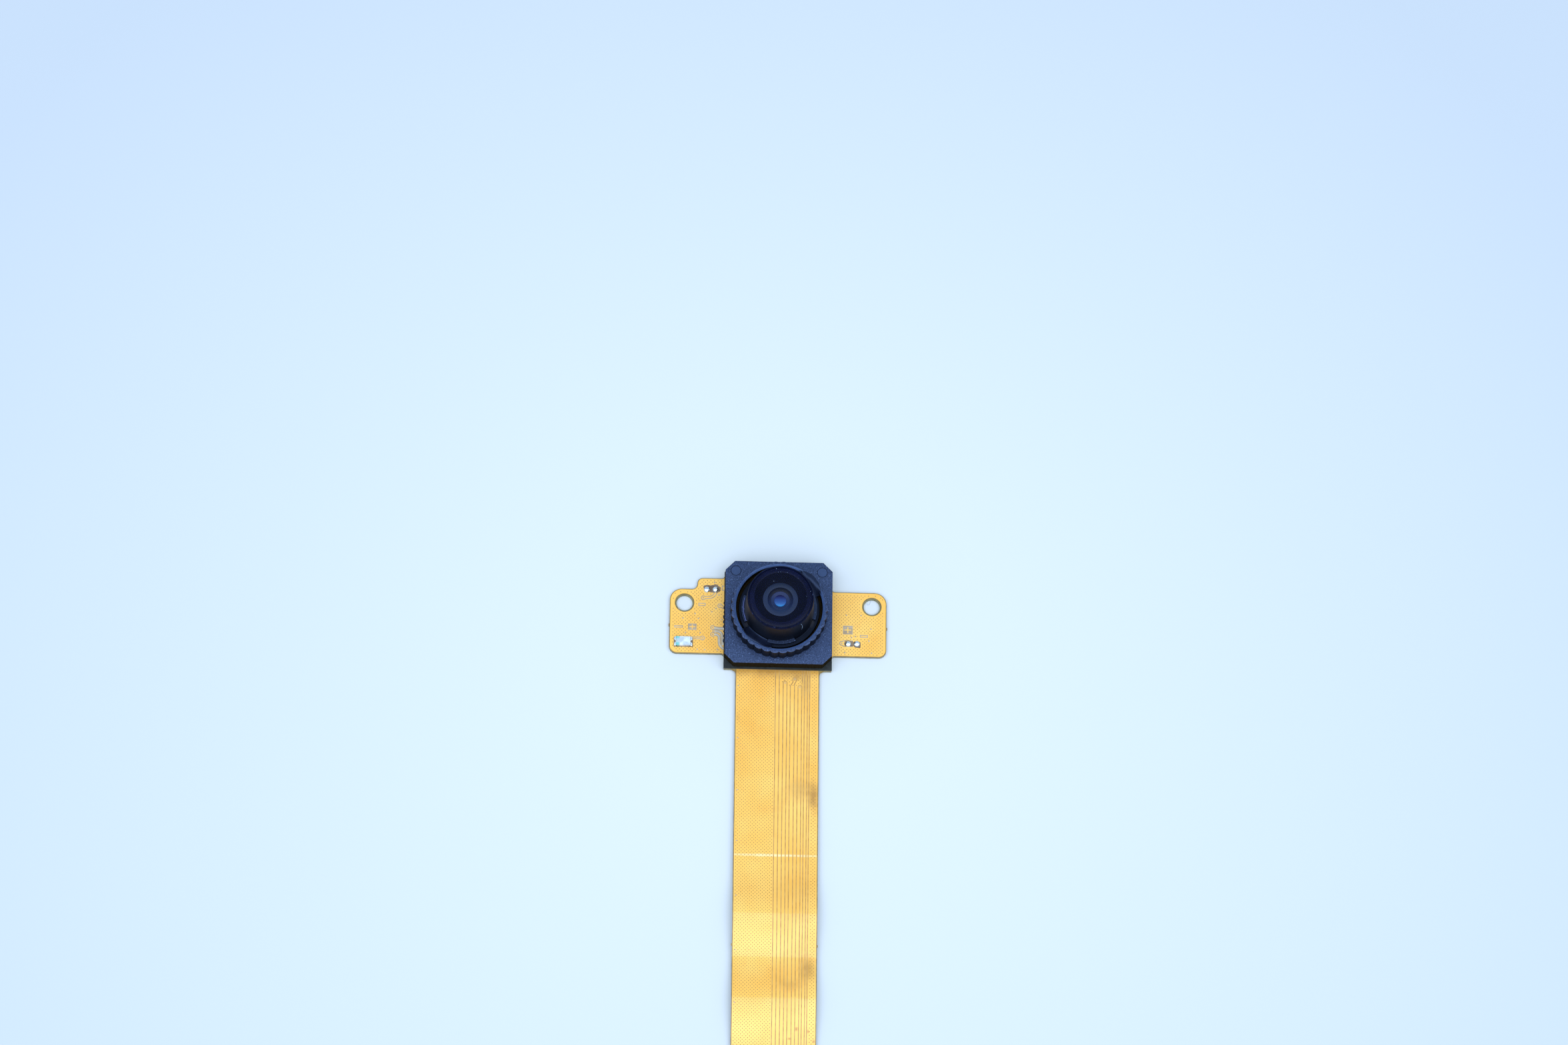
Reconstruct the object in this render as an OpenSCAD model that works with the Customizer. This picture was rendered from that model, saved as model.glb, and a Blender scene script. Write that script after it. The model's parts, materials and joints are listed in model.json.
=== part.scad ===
// Board camera: a threaded wide-angle lens in a square holder, on a flex circuit
// with two wings and a long flat tail. The lens points up (+Z) and the tail runs
// along -Y. The origin is on the optical axis, in the plane of the back face.
// All sizes are in millimetres.

/* [Head plate] */
// Distance between the two mounting hole centres
hole_pitch = 28; // [25:0.5:34]
// Diameter of each mounting hole
hole_d = 2.4; // [1.6:0.1:3]
// Distance from a hole centre to the wing's end and to its top edge
hole_edge = 2.2; // [2:0.05:3]
// Distance that the flex circuit stands back from each mounting hole in the stiffener
hole_relief = 0.17; // [0.16:0.01:0.4]
// Offset of the hole centres above the optical axis, along +Y
hole_y = 2; // [0:0.1:2.5]
// Distance from the optical axis down to the wings' lower edge
wing_drop = 5.95; // [5:0.05:7]
// Width of the raised step beside the holder on the left wing
step_w = 4.1; // [3:0.1:5]
// Height of that step above the wing's top edge
step_h = 1.75; // [1:0.05:2]
// Corner radius round each mounting hole
hole_corner_r = 1.8; // [1:0.1:2]
// Corner radius at the wings' lower ends
foot_corner_r = 1.15; // [0.5:0.05:2]
// Radius of the step's two bends
step_r = 0.8; // [0.3:0.05:0.9]
// Radius of the small fillets where the wings meet the board
root_r = 0.5; // [0.2:0.05:0.8]
// Thickness of the stiffener behind the head
stiffener_t = 0.35; // [0.2:0.05:0.8]

/* [Flex circuit] */
// Thickness of the flex circuit
flex_t = 0.15; // [0.1:0.01:0.25]
// Width of the tail
tail_w = 12.5; // [11:0.1:14]
// Length of the tail from the sensor board to its end
tail_l = 86; // [80:1:160]
// Radius of the fillets where the tail leaves the head
neck_r = 0.8; // [0.3:0.05:1.5]
// Straight length of tail before its first wave
wave_gap = 31; // [20:0.5:32]
// Length of one wave of the tail
wave_l = 13.4; // [10:0.1:14]
// Height of the waves
wave_h = 0.5; // [0.1:0.05:1.2]
// Height of the tail's long shallow bow
bow_h = 0.4; // [0:0.05:1]
// Size of the small nubs left where the outline broke out of its panel
nub_h = 0.12; // [0.05:0.01:0.3]
// Thickness of the copper that shows through the cover film
copper_t = 0.035; // [0.02:0.005:0.07]
// Bare margin between the copper and the edge of the sheet
copper_margin = 0.4; // [0.2:0.05:0.6]

/* [Contact end] */
// Distance between neighbouring contact fingers
finger_pitch = 0.5; // [0.4:0.05:0.5]
// Number of contact fingers
finger_count = 24; // [10:1:24]
// Width of one contact finger
finger_w = 0.3; // [0.2:0.02:0.35]
// Length of a contact finger
finger_l = 3.5; // [2:0.1:5]
// Thickness of the stiffener behind the contacts
end_stiffener_t = 0.2; // [0.1:0.05:0.3]
// Length of the stiffener behind the contacts
end_stiffener_l = 7; // [6:0.5:9]

/* [Sensor board] */
// Distance that the rigid board stands out past the holder's left and right sides
board_side = 0.07; // [0:0.01:0.5]
// Distance that the rigid board stands out past the holder's near and far sides
board_end = 0.25; // [0.1:0.05:1]
// Thickness of the rigid sensor board
board_t = 0.4; // [0.3:0.05:0.8]

/* [Sensor] */
// Side of the square sensor package
sensor_w = 6.4; // [5:0.1:7]
// Thickness of the sensor package
sensor_t = 0.35; // [0.3:0.05:0.4]
// Thickness of the sensor's cover glass
cover_t = 0.3; // [0.2:0.05:0.35]
// Height of the solder balls under the sensor
ball_h = 0.18; // [0.1:0.01:0.2]
// Distance between the solder balls
ball_pitch = 0.8; // [0.6:0.05:0.85]
// Length of a chip capacitor
cap_l = 1; // [0.8:0.1:1.2]

/* [Holder] */
// Width of the square holder
holder_w = 16; // [15.4:0.1:16]
// Chamfer on the holder's four corners
holder_chamfer = 1.4; // [0.8:0.1:1.6]
// Height of the holder's square base
base_h = 1.95; // [1.9:0.05:3]
// Thickness of the base's side walls
base_wall = 1.5; // [1.2:0.1:2]
// Thickness of the base's roof
roof_t = 0.95; // [0.8:0.05:1.1]
// Diameter of the collar at the root of its ribs
collar_d = 13.96; // [13.8:0.02:14.4]
// Height of the collar above the base
collar_h = 2.4; // [2:0.1:4]
// Number of ribs round the collar
rib_count = 34; // [24:1:40]
// Height of a rib above the collar
rib_h = 0.24; // [0.1:0.02:0.4]
// Radius of a rib's rounded section
rib_r = 0.42; // [0.35:0.01:0.5]
// Inner diameter of the collar above the thread
collar_bore_d = 12.9; // [12.5:0.1:13.1]
// Bevel on the collar's inner edge
collar_bevel = 0.28; // [0.1:0.02:0.3]
// Length of the threaded bore above the roof
thread_h = 0.8; // [0.5:0.1:0.9]
// Diameter of the two locating pegs
peg_d = 0.9; // [0.7:0.05:1]
// Diameter of the two round ejector marks
ejector_d = 1.5; // [1:0.1:1.6]

/* [Infrared filter] */
// Side of the square filter
filter_w = 8.6; // [8.2:0.1:9.5]
// Thickness of the filter
filter_t = 0.3; // [0.2:0.05:0.35]
// Side of the square window under the lens
window_w = 6.8; // [6:0.1:7.4]

/* [Lens barrel] */
// Outer diameter of the lens thread
thread_d = 12; // [11.8:0.05:12.2]
// Height of the lens shoulder above the holder's base
shoulder_h = 1.5; // [1.3:0.1:1.8]
// Height of the snout's rim above the holder's base
lens_h = 7; // [6.6:0.1:9]
// Diameter of the snout at its foot
snout_foot_d = 10.4; // [10.1:0.05:11]
// Diameter of the snout at its rim
snout_rim_d = 9.8; // [9.8:0.05:10.1]
// Number of wrench tabs on the shoulder
tab_count = 4; // [2:1:6]
// Angle that one tab covers, in degrees
tab_angle = 44; // [20:1:45]
// Height of a tab above the shoulder
tab_h = 0.6; // [0.3:0.05:0.8]
// Outer diameter across the tabs
tab_d = 11.3; // [11.1:0.05:11.5]
// Turn of the tabs from the X axis, in degrees
tab_turn = 4; // [0:1:8]

/* [Lens stack] */
// Diameter of the front glass
front_d = 9.36; // [9.2:0.02:9.4]
// Thickness of the front glass at its edge
front_edge_t = 0.95; // [0.8:0.05:1.1]
// Height of the front glass's dome
front_sag = 0.8; // [0.4:0.05:1]
// Clear diameter of the ring under the front glass
front_clear_d = 5.4; // [5:0.1:6.4]
// Diameter of the lenses inside the barrel
lens_d = 8.6; // [8.2:0.05:8.7]
// Thickness of the rings between the lenses
spacer_t = 0.3; // [0.2:0.05:0.4]
// Thickness of the second lens
second_t = 1.3; // [1:0.05:1.4]
// Diameter of the second lens's hollow
second_hollow_d = 3.75; // [3:0.05:4.2]
// Thickness of the aperture stop
stop_t = 0.12; // [0.1:0.02:0.2]
// Diameter of the aperture
stop_d = 1.8; // [1.4:0.1:2.4]
// Thickness of the third lens
third_t = 2.1; // [1.8:0.1:2.2]

/* [Small parts] */
// Length of the indicator lamp
led_l = 2.7; // [2:0.1:3]
// Width of the indicator lamp
led_w = 1.4; // [1:0.1:1.6]
// Height of the indicator lamp
led_h = 0.7; // [0.4:0.05:1]
// Diameter of a solder dome
solder_d = 0.68; // [0.4:0.02:0.8]
// Distance between the two solder domes of a pair
solder_pitch = 1.3; // [1.1:0.05:1.6]
// Outer diameter of a via ring
via_d = 0.72; // [0.5:0.02:0.9]
// Length of a plus or minus mark
mark_l = 1; // [0.6:0.05:1.2]
// Width of the strokes of a mark
mark_w = 0.2; // [0.1:0.02:0.3]

/* [Adhesive] */
// Height of the thread-lock dabs above the collar's rim
glue_h = 0.22; // [0.1:0.02:0.4]
// Angle that one dab covers, in degrees
glue_angle = 30; // [15:1:32]
// Radius of a drop along the holder's foot
drop_r = 0.3; // [0.2:0.05:0.4]

/* [Fits] */
// Clearance between pieces that drop into each other
fit = 0.03; // [0.02:0.01:0.05]

/* [Hidden] */
$fn = 96;

// Levels along the optical axis
z_flex = stiffener_t;
z_head = z_flex + flex_t;
z_board = z_head + board_t;
z_base = z_board + base_h;
z_collar = z_base + collar_h;
z_roof = z_base - roof_t;
z_shoulder = z_base + shoulder_h;
z_rim = z_base + lens_h;

// The rigid board, a little larger than the holder
board_w = holder_w + 2*board_side;
board_l = holder_w + 2*board_end;

// Length of the lamp's metal ends
led_end = led_l/6;

// Outline of the head
head_x = board_w/2 - 0.05;
head_bottom = -board_l/2 - 0.05;
head_top = board_l/2 - 0.05;
wing_x = hole_pitch/2 + hole_edge;
wing_top = hole_y + hole_edge;
step_x = -head_x - step_w;

// Centres of the lamp and of the two pairs of solder domes
lamp_at = on_wing(-1, 0.743, -0.703);
left_pair = on_wing(-1, 0.242, 0.988);
right_pair = on_wing(1, 0.378, -0.655);

// Route of the tail
tail_x = tail_w/2;
tail_start = -board_l/2;
tail_end = tail_start - tail_l;
wave_count = 3;
wave_start = tail_start - wave_gap;
wave_end = wave_start - wave_count*wave_l;
end_flat = tail_end + end_stiffener_l;
bow_start = tail_start - 4;
nub_w = 0.5;

// Lens stack, from the ledge at the barrel's rear to the front glass
ledge_t = 0.4;
ledge_d = 6.8;
focus_gap = 0.2;
filter_seat = z_roof + filter_t + fit;
shelf_t = 0.3;
z_rear = filter_seat + shelf_t + focus_gap;
z_front_glass = z_rim - 0.2 - front_edge_t;
z_second = z_front_glass - spacer_t - second_t;
z_stop = z_second - stop_t;
z_third = z_stop - third_t;
z_rear_spacer = z_third - spacer_t;
z_rear_lens = z_rear + ledge_t;
over = 0.1;

// Smooth step from 0 to 1 as t goes from 0 to 1
function ease(t) = t <= 0 ? 0 : t >= 1 ? 1 : (1 - cos(180*t))/2;
// One full swell from 0 to 1 and back as t goes from 0 to 1
function swell(t) = t <= 0 || t >= 1 ? 0 : (1 - cos(360*t))/2;
// Place on a wing: side is -1 or 1, u goes from 0 at the board to 1 at the wing's end,
// and v from 0 on the lens's axis to -1 and 1 at the lower and upper edge
function on_wing(side, u, v) =
    [side*(board_w/2 + u*(wing_x - board_w/2)), v*(v < 0 ? wing_drop : wing_top)];
// Height of the waves at a place along the tail
function waves(y) = y >= wave_start || y <= wave_end ? 0
    : wave_h*(1 - cos(360*(wave_start - y)/wave_l))/2;
// Height of the sheet's underside at a place along the tail
function sheet_z(y) = let(t = (bow_start - y)/(bow_start - end_flat))
    z_flex + (end_stiffener_t - z_flex)*ease(t) + bow_h*swell(t) + waves(y);
// Distance between the places where the sheet's curve is sampled, the same for every layer
sample_l = 1.3;
// Height of the sheet's underside at one such place
function sample_z(i) = sheet_z(tail_start - i*sample_l);
// Height of the sheet's underside anywhere, on the straight line between two samples
function line_z(y) = let(s = (tail_start - y)/sample_l, i = floor(s))
    sample_z(i) + (sample_z(i + 1) - sample_z(i))*(s - i);
// Samples between two ends, with the ends themselves
function stations(y0, y1) = let(s0 = (tail_start - y0)/sample_l, s1 = (tail_start - y1)/sample_l)
    concat([y0], [for (i = [floor(s0 + 0.01) + 1:1:ceil(s1 - 0.01) - 1]) tail_start - i*sample_l],
        [y1]);
// Closed side view of a layer of the sheet, lift above its underside and t thick
function layer(y0, y1, lift, t) = let(s = stations(y0, y1), n = len(s) - 1) concat(
    [for (i = [0:n]) [s[i], line_z(s[i]) + lift]],
    [for (i = [n:-1:0]) [s[i], line_z(s[i]) + lift + t]]);
// Radius of a spherical cap from its diameter and height
function cap_r(d, sag) = (d*d/4 + sag*sag)/(2*sag);

// Layer of the sheet from x0 to x1 across and y0 to y1 along
module strip(x0, x1, y0, y1, lift, t) {
    translate([x0, 0, 0]) rotate([90, 0, 90]) linear_extrude(x1 - x0)
        polygon(layer(y0, y1, lift, t));
}

// Rectangle between two corners
module block(x0, y0, x1, y1) {
    translate([x0, y0]) square([x1 - x0, y1 - y0]);
}

// Rectangle whose corners away from the centre column are rounded; side is -1 or 1
module wing(side, top_r, bottom_r) {
    mirror([side < 0 ? 1 : 0, 0]) difference() {
        block(0, -wing_drop, wing_x, wing_top);
        translate([wing_x, wing_top]) mirror([1, 1]) corner(top_r);
        translate([wing_x, -wing_drop]) mirror([1, 0]) corner(bottom_r);
    }
}

// What lies between a corner's point and its arc, open towards +X +Y: cut off or filled in
module corner(r) {
    difference() {
        translate([-over, -over]) square(r + over);
        translate([r, r]) circle(r);
    }
}

// Nub left at the edge where the sheet broke out of its panel; side is -1 or 1
module nub(x, y, side) {
    translate([side*x, y]) rotate(side < 0 ? 180 : 0)
        polygon([[-2*over, -nub_w/2 - over], [nub_h, -nub_w/4], [nub_h, nub_w/4],
            [-2*over, nub_w/2 + over]]);
}

// Rectangle from y0 to y1, x to each side, with the chamfers of the holder on its two far corners
module far_corners_cut(x, y0, y1) {
    c = holder_chamfer;
    polygon([[-x, y0], [x, y0], [x, y1 - c], [x - c, y1], [c - x, y1], [-x, y1 - c]]);
}

// Outline of the head with its two wings; relief widens the mounting holes
module head_outline(relief = 0) {
    difference() {
        union() {
            far_corners_cut(head_x, head_bottom, head_top);
            wing(1, hole_corner_r, foot_corner_r);
            wing(-1, hole_corner_r, foot_corner_r);
            difference() {
                block(step_x, 0, 0, wing_top + step_h);
                translate([step_x, wing_top + step_h]) mirror([0, 1]) corner(step_r);
            }
            translate([step_x, wing_top]) mirror([1, 0]) corner(step_r);
            translate([-head_x, wing_top + step_h]) mirror([1, 0]) corner(root_r);
            translate([head_x, wing_top]) corner(root_r);
            translate([head_x, -wing_drop]) mirror([0, 1]) corner(root_r);
            translate([-head_x, -wing_drop]) mirror([1, 0]) mirror([0, 1]) corner(root_r);
            nub(wing_x, -1.5, -1);
            nub(wing_x, -1.4, 1);
        }
        for (side = [-1, 1]) translate([side*hole_pitch/2, hole_y])
            circle(d = hole_d + 2*relief);
    }
}

// Outline of the tail, from inside the head to its end
module tail_outline() {
    block(-tail_x, tail_end, tail_x, head_bottom + 1);
    for (side = [0, 1]) mirror([side, 0]) translate([tail_x, head_bottom])
        mirror([0, 1]) corner(neck_r);
    for (side = [-1, 1]) nub(tail_x, tail_start - 42.7, side);
}

// Square with chamfered corners
module chamfered_square(w, c) {
    polygon([[w/2 - c, -w/2], [w/2, c - w/2], [w/2, w/2 - c], [w/2 - c, w/2],
        [c - w/2, w/2], [-w/2, w/2 - c], [-w/2, c - w/2], [c - w/2, -w/2]]);
}

// Places of the two locating pegs
module at_pegs() {
    peg_margin = 0.27;
    peg_at = (holder_w - holder_chamfer)/sqrt(2) - peg_d/2 - peg_margin;
    for (turn = [135, -45]) rotate(turn) translate([peg_at, 0, 0]) children();
}

module lens_holder() color([0.1, 0.13, 0.2]) {
    difference() {
        union() {
            translate([0, 0, z_board]) linear_extrude(base_h)
                chamfered_square(holder_w, holder_chamfer);
            translate([0, 0, z_base - over]) cylinder(d = collar_d, h = collar_h + over);
            collar_ribs();
            at_pegs() translate([0, 0, z_head]) cylinder(d = peg_d, h = board_t + over);
        }
        sensor_cavity();
        translate([0, 0, z_roof - over]) linear_extrude(filter_t + fit + over)
            square(filter_w + 2*fit, center = true);
        translate([0, 0, z_roof]) linear_extrude(roof_t) square(window_w, center = true);
        translate([0, 0, filter_seat + shelf_t])
            cylinder(d = thread_d + 2*fit, h = z_collar - filter_seat);
        translate([0, 0, z_base + thread_h]) cylinder(d = collar_bore_d, h = collar_h);
        translate([0, 0, z_collar - collar_bevel]) cylinder(d1 = collar_bore_d,
            d2 = collar_bore_d + 4*collar_bevel, h = 2*collar_bevel);
        ejector_marks();
    }
}

// Rounded ribs round the collar, with a valley on the Y axis
module collar_ribs() {
    pitch = 360/rib_count;
    rib_at = collar_d/2 + rib_h - rib_r;
    for (i = [0:rib_count - 1]) rotate(90 + (i + 0.5)*pitch)
        translate([rib_at, 0, z_base - over]) cylinder(r = rib_r, h = collar_h + over, $fn = 32);
}

// Room for the sensor and its capacitors under the roof
module sensor_cavity() {
    w = holder_w - 2*base_wall;
    translate([0, 0, z_board - over]) linear_extrude(base_h - roof_t + over)
        chamfered_square(w, holder_chamfer);
}

// Shallow round marks in the base's two far corners
module ejector_marks() {
    mark_at = holder_w/2 - ejector_d - 0.05;
    for (side = [-1, 1]) translate([side*mark_at, mark_at, z_base - 0.1])
        cylinder(d = ejector_d, h = 0.1 + over);
}

module lens_barrel() color([0.06, 0.07, 0.12]) {
    thread_r = thread_d/2;
    front_r = front_d/2 + fit;
    bore_r = lens_d/2 + fit;
    rotate_extrude() polygon([[ledge_d/2, z_rear], [thread_r - 0.3, z_rear],
        [thread_r, z_rear + 0.3], [thread_r, z_shoulder - 0.2],
        [thread_r - 0.2, z_shoulder], [snout_foot_d/2, z_shoulder],
        [snout_rim_d/2 + 0.02, z_rim - 0.12], [snout_rim_d/2 - 0.1, z_rim],
        [front_r, z_rim], [front_r, z_front_glass - spacer_t],
        [bore_r, z_front_glass - spacer_t], [bore_r, z_rear_lens],
        [ledge_d/2, z_rear_lens]]);
    for (i = [0:tab_count - 1]) rotate(tab_turn + i*360/tab_count - tab_angle/2)
        rotate_extrude(angle = tab_angle) translate([snout_rim_d/2, z_shoulder - over])
            square([(tab_d - snout_rim_d)/2, tab_h + over]);
}

module front_element() color([0.08, 0.09, 0.2]) {
    dome_r = cap_r(front_d, front_sag);
    hollow_d = front_d - 1.6;
    hollow_sag = 0.9;
    hollow_r = cap_r(hollow_d, hollow_sag);
    translate([0, 0, z_front_glass]) difference() {
        intersection() {
            cylinder(d = front_d, h = front_edge_t + front_sag);
            translate([0, 0, front_edge_t + front_sag - dome_r]) sphere(dome_r, $fn = 160);
        }
        translate([0, 0, hollow_sag - hollow_r]) sphere(hollow_r, $fn = 96);
    }
}

// Flat ring from one level up
module ring(z, h, outer_d, inner_d) {
    translate([0, 0, z]) difference() {
        cylinder(d = outer_d, h = h);
        translate([0, 0, -over]) cylinder(d = inner_d, h = h + 2*over);
    }
}

module front_spacer() color([0.05, 0.05, 0.06])
    ring(z_front_glass - spacer_t, spacer_t, front_d, front_clear_d);

module second_element() color([0.35, 0.4, 0.5]) {
    hollow_sag = 0.7;
    hollow_r = cap_r(second_hollow_d, hollow_sag);
    difference() {
        translate([0, 0, z_second]) cylinder(d = lens_d, h = second_t);
        translate([0, 0, z_second + second_t + hollow_r - hollow_sag]) sphere(hollow_r);
    }
}

module aperture_stop() color([0.2, 0.22, 0.3])
    ring(z_stop, stop_t, lens_d, stop_d);

module third_element() color([0.6, 0.7, 0.85]) {
    sag = 0.3;
    dome_r = cap_r(lens_d - 2, sag);
    translate([0, 0, z_third]) difference() {
        cylinder(d = lens_d, h = third_t);
        translate([0, 0, sag - dome_r]) sphere(dome_r, $fn = 160);
    }
}

module rear_spacer() color([0.05, 0.05, 0.06])
    ring(z_rear_spacer, spacer_t, lens_d, lens_d - 2.2);

module rear_element() color([0.6, 0.7, 0.85]) {
    sag = 0.25;
    dome_r = cap_r(lens_d - 2, sag);
    height = z_rear_spacer - z_rear_lens;
    translate([0, 0, z_rear_lens]) difference() {
        cylinder(d = lens_d, h = height);
        translate([0, 0, height - sag + dome_r]) sphere(dome_r, $fn = 160);
    }
}

module ir_filter() color([0.75, 0.5, 0.6])
    translate([0, 0, z_roof]) linear_extrude(filter_t) square(filter_w, center = true);

module sensor_package() color([0.12, 0.12, 0.15])
    translate([0, 0, z_board + ball_h]) linear_extrude(sensor_t)
        square(sensor_w, center = true);

module sensor_cover_glass() color([0.5, 0.6, 0.6])
    translate([0, 0, z_board + ball_h + sensor_t]) linear_extrude(cover_t)
        square(sensor_w, center = true);

module sensor_balls() color("silver") {
    n = 7;
    for (i = [0:n - 1], j = [0:n - 1])
        translate([(i - (n - 1)/2)*ball_pitch, (j - (n - 1)/2)*ball_pitch, z_board])
            cylinder(d = 0.32, h = ball_h, $fn = 16);
}

module chip_capacitors() color([0.55, 0.42, 0.3]) {
    cap_w = cap_l/2;
    row_at = (sensor_w/2 + holder_w/2 - base_wall)/2;
    for (turn = [0:90:270], i = [-1, 1]) rotate(turn)
        translate([row_at, i*1.6*cap_l, z_board + cap_w/2])
            cube([cap_w, cap_l, cap_w], center = true);
}

module sensor_board() color([0.25, 0.36, 0.24]) {
    difference() {
        translate([0, 0, z_head]) linear_extrude(board_t)
            far_corners_cut(board_w/2, -board_l/2, board_l/2);
        at_pegs() translate([0, 0, z_head - over]) cylinder(d = peg_d + 2*fit, h = board_t + 2*over);
    }
}

module flex_circuit() color([1, 0.83, 0.43]) {
    intersection() {
        strip(-wing_x - 1, wing_x + 1, head_top + 1, tail_end, 0, flex_t);
        linear_extrude(z_base) {
            head_outline(hole_relief);
            tail_outline();
        }
    }
}

module head_stiffener() color([0.45, 0.42, 0.2])
    linear_extrude(stiffener_t) head_outline();

// Copper lines of the tail, each between two neighbouring gaps
module conductors() color([0.95, 0.75, 0.36]) {
    gap_w = 0.1;
    edge = tail_x - copper_margin;
    gaps = [-0.28, 0.3, 0.88, 1.44, 1.94, 2.56, 3.09, 3.65, 4.05, 4.5, 4.83];
    last = len(gaps);
    line_end = end_flat + 1;
    for (i = [0:last]) strip(i == 0 ? -edge : gaps[i - 1] + gap_w/2,
        i == last ? edge : gaps[i] - gap_w/2, head_bottom - 1, line_end, flex_t, copper_t);
}

// Ring of copper round a via, with a line that leaves it, as long as line via diameters
module via(at, turn = 0, line = 0.5) {
    translate([at.x, at.y, z_head]) linear_extrude(copper_t) difference() {
        union() {
            circle(d = via_d, $fn = 32);
            rotate(turn) translate([0, -via_d/6]) square([line*via_d, via_d/3]);
        }
        circle(d = via_d/2, $fn = 24);
    }
}

module via_rings() color([0.8, 0.65, 0.35]) {
    via(on_wing(-1, 0.386, 0.67), -20, 1.1);
    via(on_wing(-1, 0.1, 0.39));
    via(on_wing(-1, 0.21, -0.31), 10, 1.2);
    via(on_wing(-1, 0.205, -0.49), 35, 1);
    via([lamp_at.x + led_l/2 + 2.1*via_d, lamp_at.y + led_w/2], 180, 1.1);
    via(on_wing(1, 0.18, -0.65));
}

// Bar, or cross when both is true, in copper
module mark(at, both) {
    translate([at.x, at.y, z_head]) linear_extrude(copper_t) {
        square([mark_l, mark_w], center = true);
        if (both) square([mark_w, mark_l], center = true);
    }
}

module polarity_marks() color([0.95, 0.78, 0.4]) {
    mark(on_wing(-1, 0.83, -0.3), false);
    mark(on_wing(-1, 0.58, -0.3), true);
    mark(on_wing(-1, 0.41, 0.42), false);
    mark(on_wing(1, 0.29, -0.29), true);
    mark(on_wing(1, 0.59, -0.45), false);
}

module led_body() color("white")
    translate([lamp_at.x, lamp_at.y, z_head + copper_t]) {
        linear_extrude(led_h*0.4) square([led_l - 2*led_end, led_w], center = true);
        translate([0, 0, led_h*0.4]) linear_extrude(led_h*0.6)
            square([led_l - 2*led_end, led_w*0.92], center = true);
    }

// Notched metal ends of the lamp
module led_terminals() color("silver")
    for (side = [-1, 1]) translate([lamp_at.x, lamp_at.y, z_head + copper_t])
        linear_extrude(led_h*0.4) difference() {
            translate([side*(led_l - led_end)/2, 0]) square([led_end, led_w], center = true);
            translate([side*led_l/2, 0]) circle(d = led_w*0.38, $fn = 24);
        }

// Places of the four solder domes
module at_joints() {
    for (pair = [left_pair, right_pair], side = [-1, 1])
        translate([pair.x + side*solder_pitch/2, pair.y, z_head]) children();
}

module solder_pads() color([0.82, 0.78, 0.78]) {
    at_joints() linear_extrude(copper_t) square(solder_d + 0.3, center = true);
    for (side = [-1, 1]) translate([lamp_at.x + side*(led_l - led_end)/2, lamp_at.y, z_head])
        linear_extrude(copper_t) square([led_end + 0.1, led_w + 0.1], center = true);
}

module solder_joints() color([0.75, 0.76, 0.8]) {
    dome_r = cap_r(solder_d, solder_d*0.42);
    at_joints() translate([0, 0, copper_t]) intersection() {
        cylinder(d = solder_d, h = solder_d, $fn = 32);
        translate([0, 0, solder_d*0.42 - dome_r]) sphere(dome_r, $fn = 48);
    }
}

// Thread-lock dabs from the shoulder over the collar's rim
module lens_glue() color([0.04, 0.04, 0.05]) {
    gap_r = collar_bore_d/2 - fit;
    rim_r = gap_r + collar_bevel;
    inner_r = snout_foot_d/2 + fit;
    outer_r = collar_d/2 - 0.1;
    section = [[inner_r, z_shoulder + fit], [gap_r, z_shoulder + fit],
        [gap_r, z_collar - collar_bevel + fit], [rim_r, z_collar + fit],
        [outer_r, z_collar + fit], [outer_r - 0.15, z_collar + glue_h*0.7],
        [rim_r, z_collar + glue_h], [gap_r - 0.3, z_collar + glue_h*0.6],
        [inner_r, z_collar - 0.1]];
    for (start = [30, 216]) rotate(start) rotate_extrude(angle = glue_angle) polygon(section);
}

// Drops of adhesive along the foot of the holder's left side
module foot_adhesive() color([0.04, 0.04, 0.05]) {
    drops = 6;
    first_y = holder_w/8;
    drop_pitch = holder_w/13;
    for (i = [0:drops - 1])
        translate([-board_w/2 - fit, first_y - i*drop_pitch, z_head]) intersection() {
            translate([-4*drop_r, -4*drop_r, 0]) cube([4*drop_r, 8*drop_r, 4*drop_r]);
            scale(1 + 0.3*sin(140*i)) cylinder(r1 = drop_r, r2 = 0.4*drop_r, h = 2*drop_r, $fn = 24);
        }
}

module contact_stiffener() color([0.85, 0.6, 0.25])
    translate([-tail_x, tail_end, 0]) cube([tail_w, end_stiffener_l, end_stiffener_t]);

module contact_fingers() color([0.95, 0.8, 0.4])
    for (i = [0:finger_count - 1])
        translate([(i - (finger_count - 1)/2)*finger_pitch - finger_w/2, tail_end + 0.3,
            end_stiffener_t + flex_t]) cube([finger_w, finger_l, copper_t]);

lens_holder();
lens_barrel();
front_element();
front_spacer();
second_element();
aperture_stop();
third_element();
rear_spacer();
rear_element();
ir_filter();
sensor_package();
sensor_cover_glass();
sensor_balls();
chip_capacitors();
sensor_board();
flex_circuit();
head_stiffener();
conductors();
via_rings();
polarity_marks();
led_body();
led_terminals();
solder_pads();
solder_joints();
lens_glue();
foot_adhesive();
contact_stiffener();
contact_fingers();
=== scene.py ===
"""Looks of the board camera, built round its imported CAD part. Lengths are millimetres in the CAD frame;
a mesh is turned into metres when it is made."""

import bisect
import json
import math
import random

import bpy
from mathutils import Matrix, Vector, noise


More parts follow.
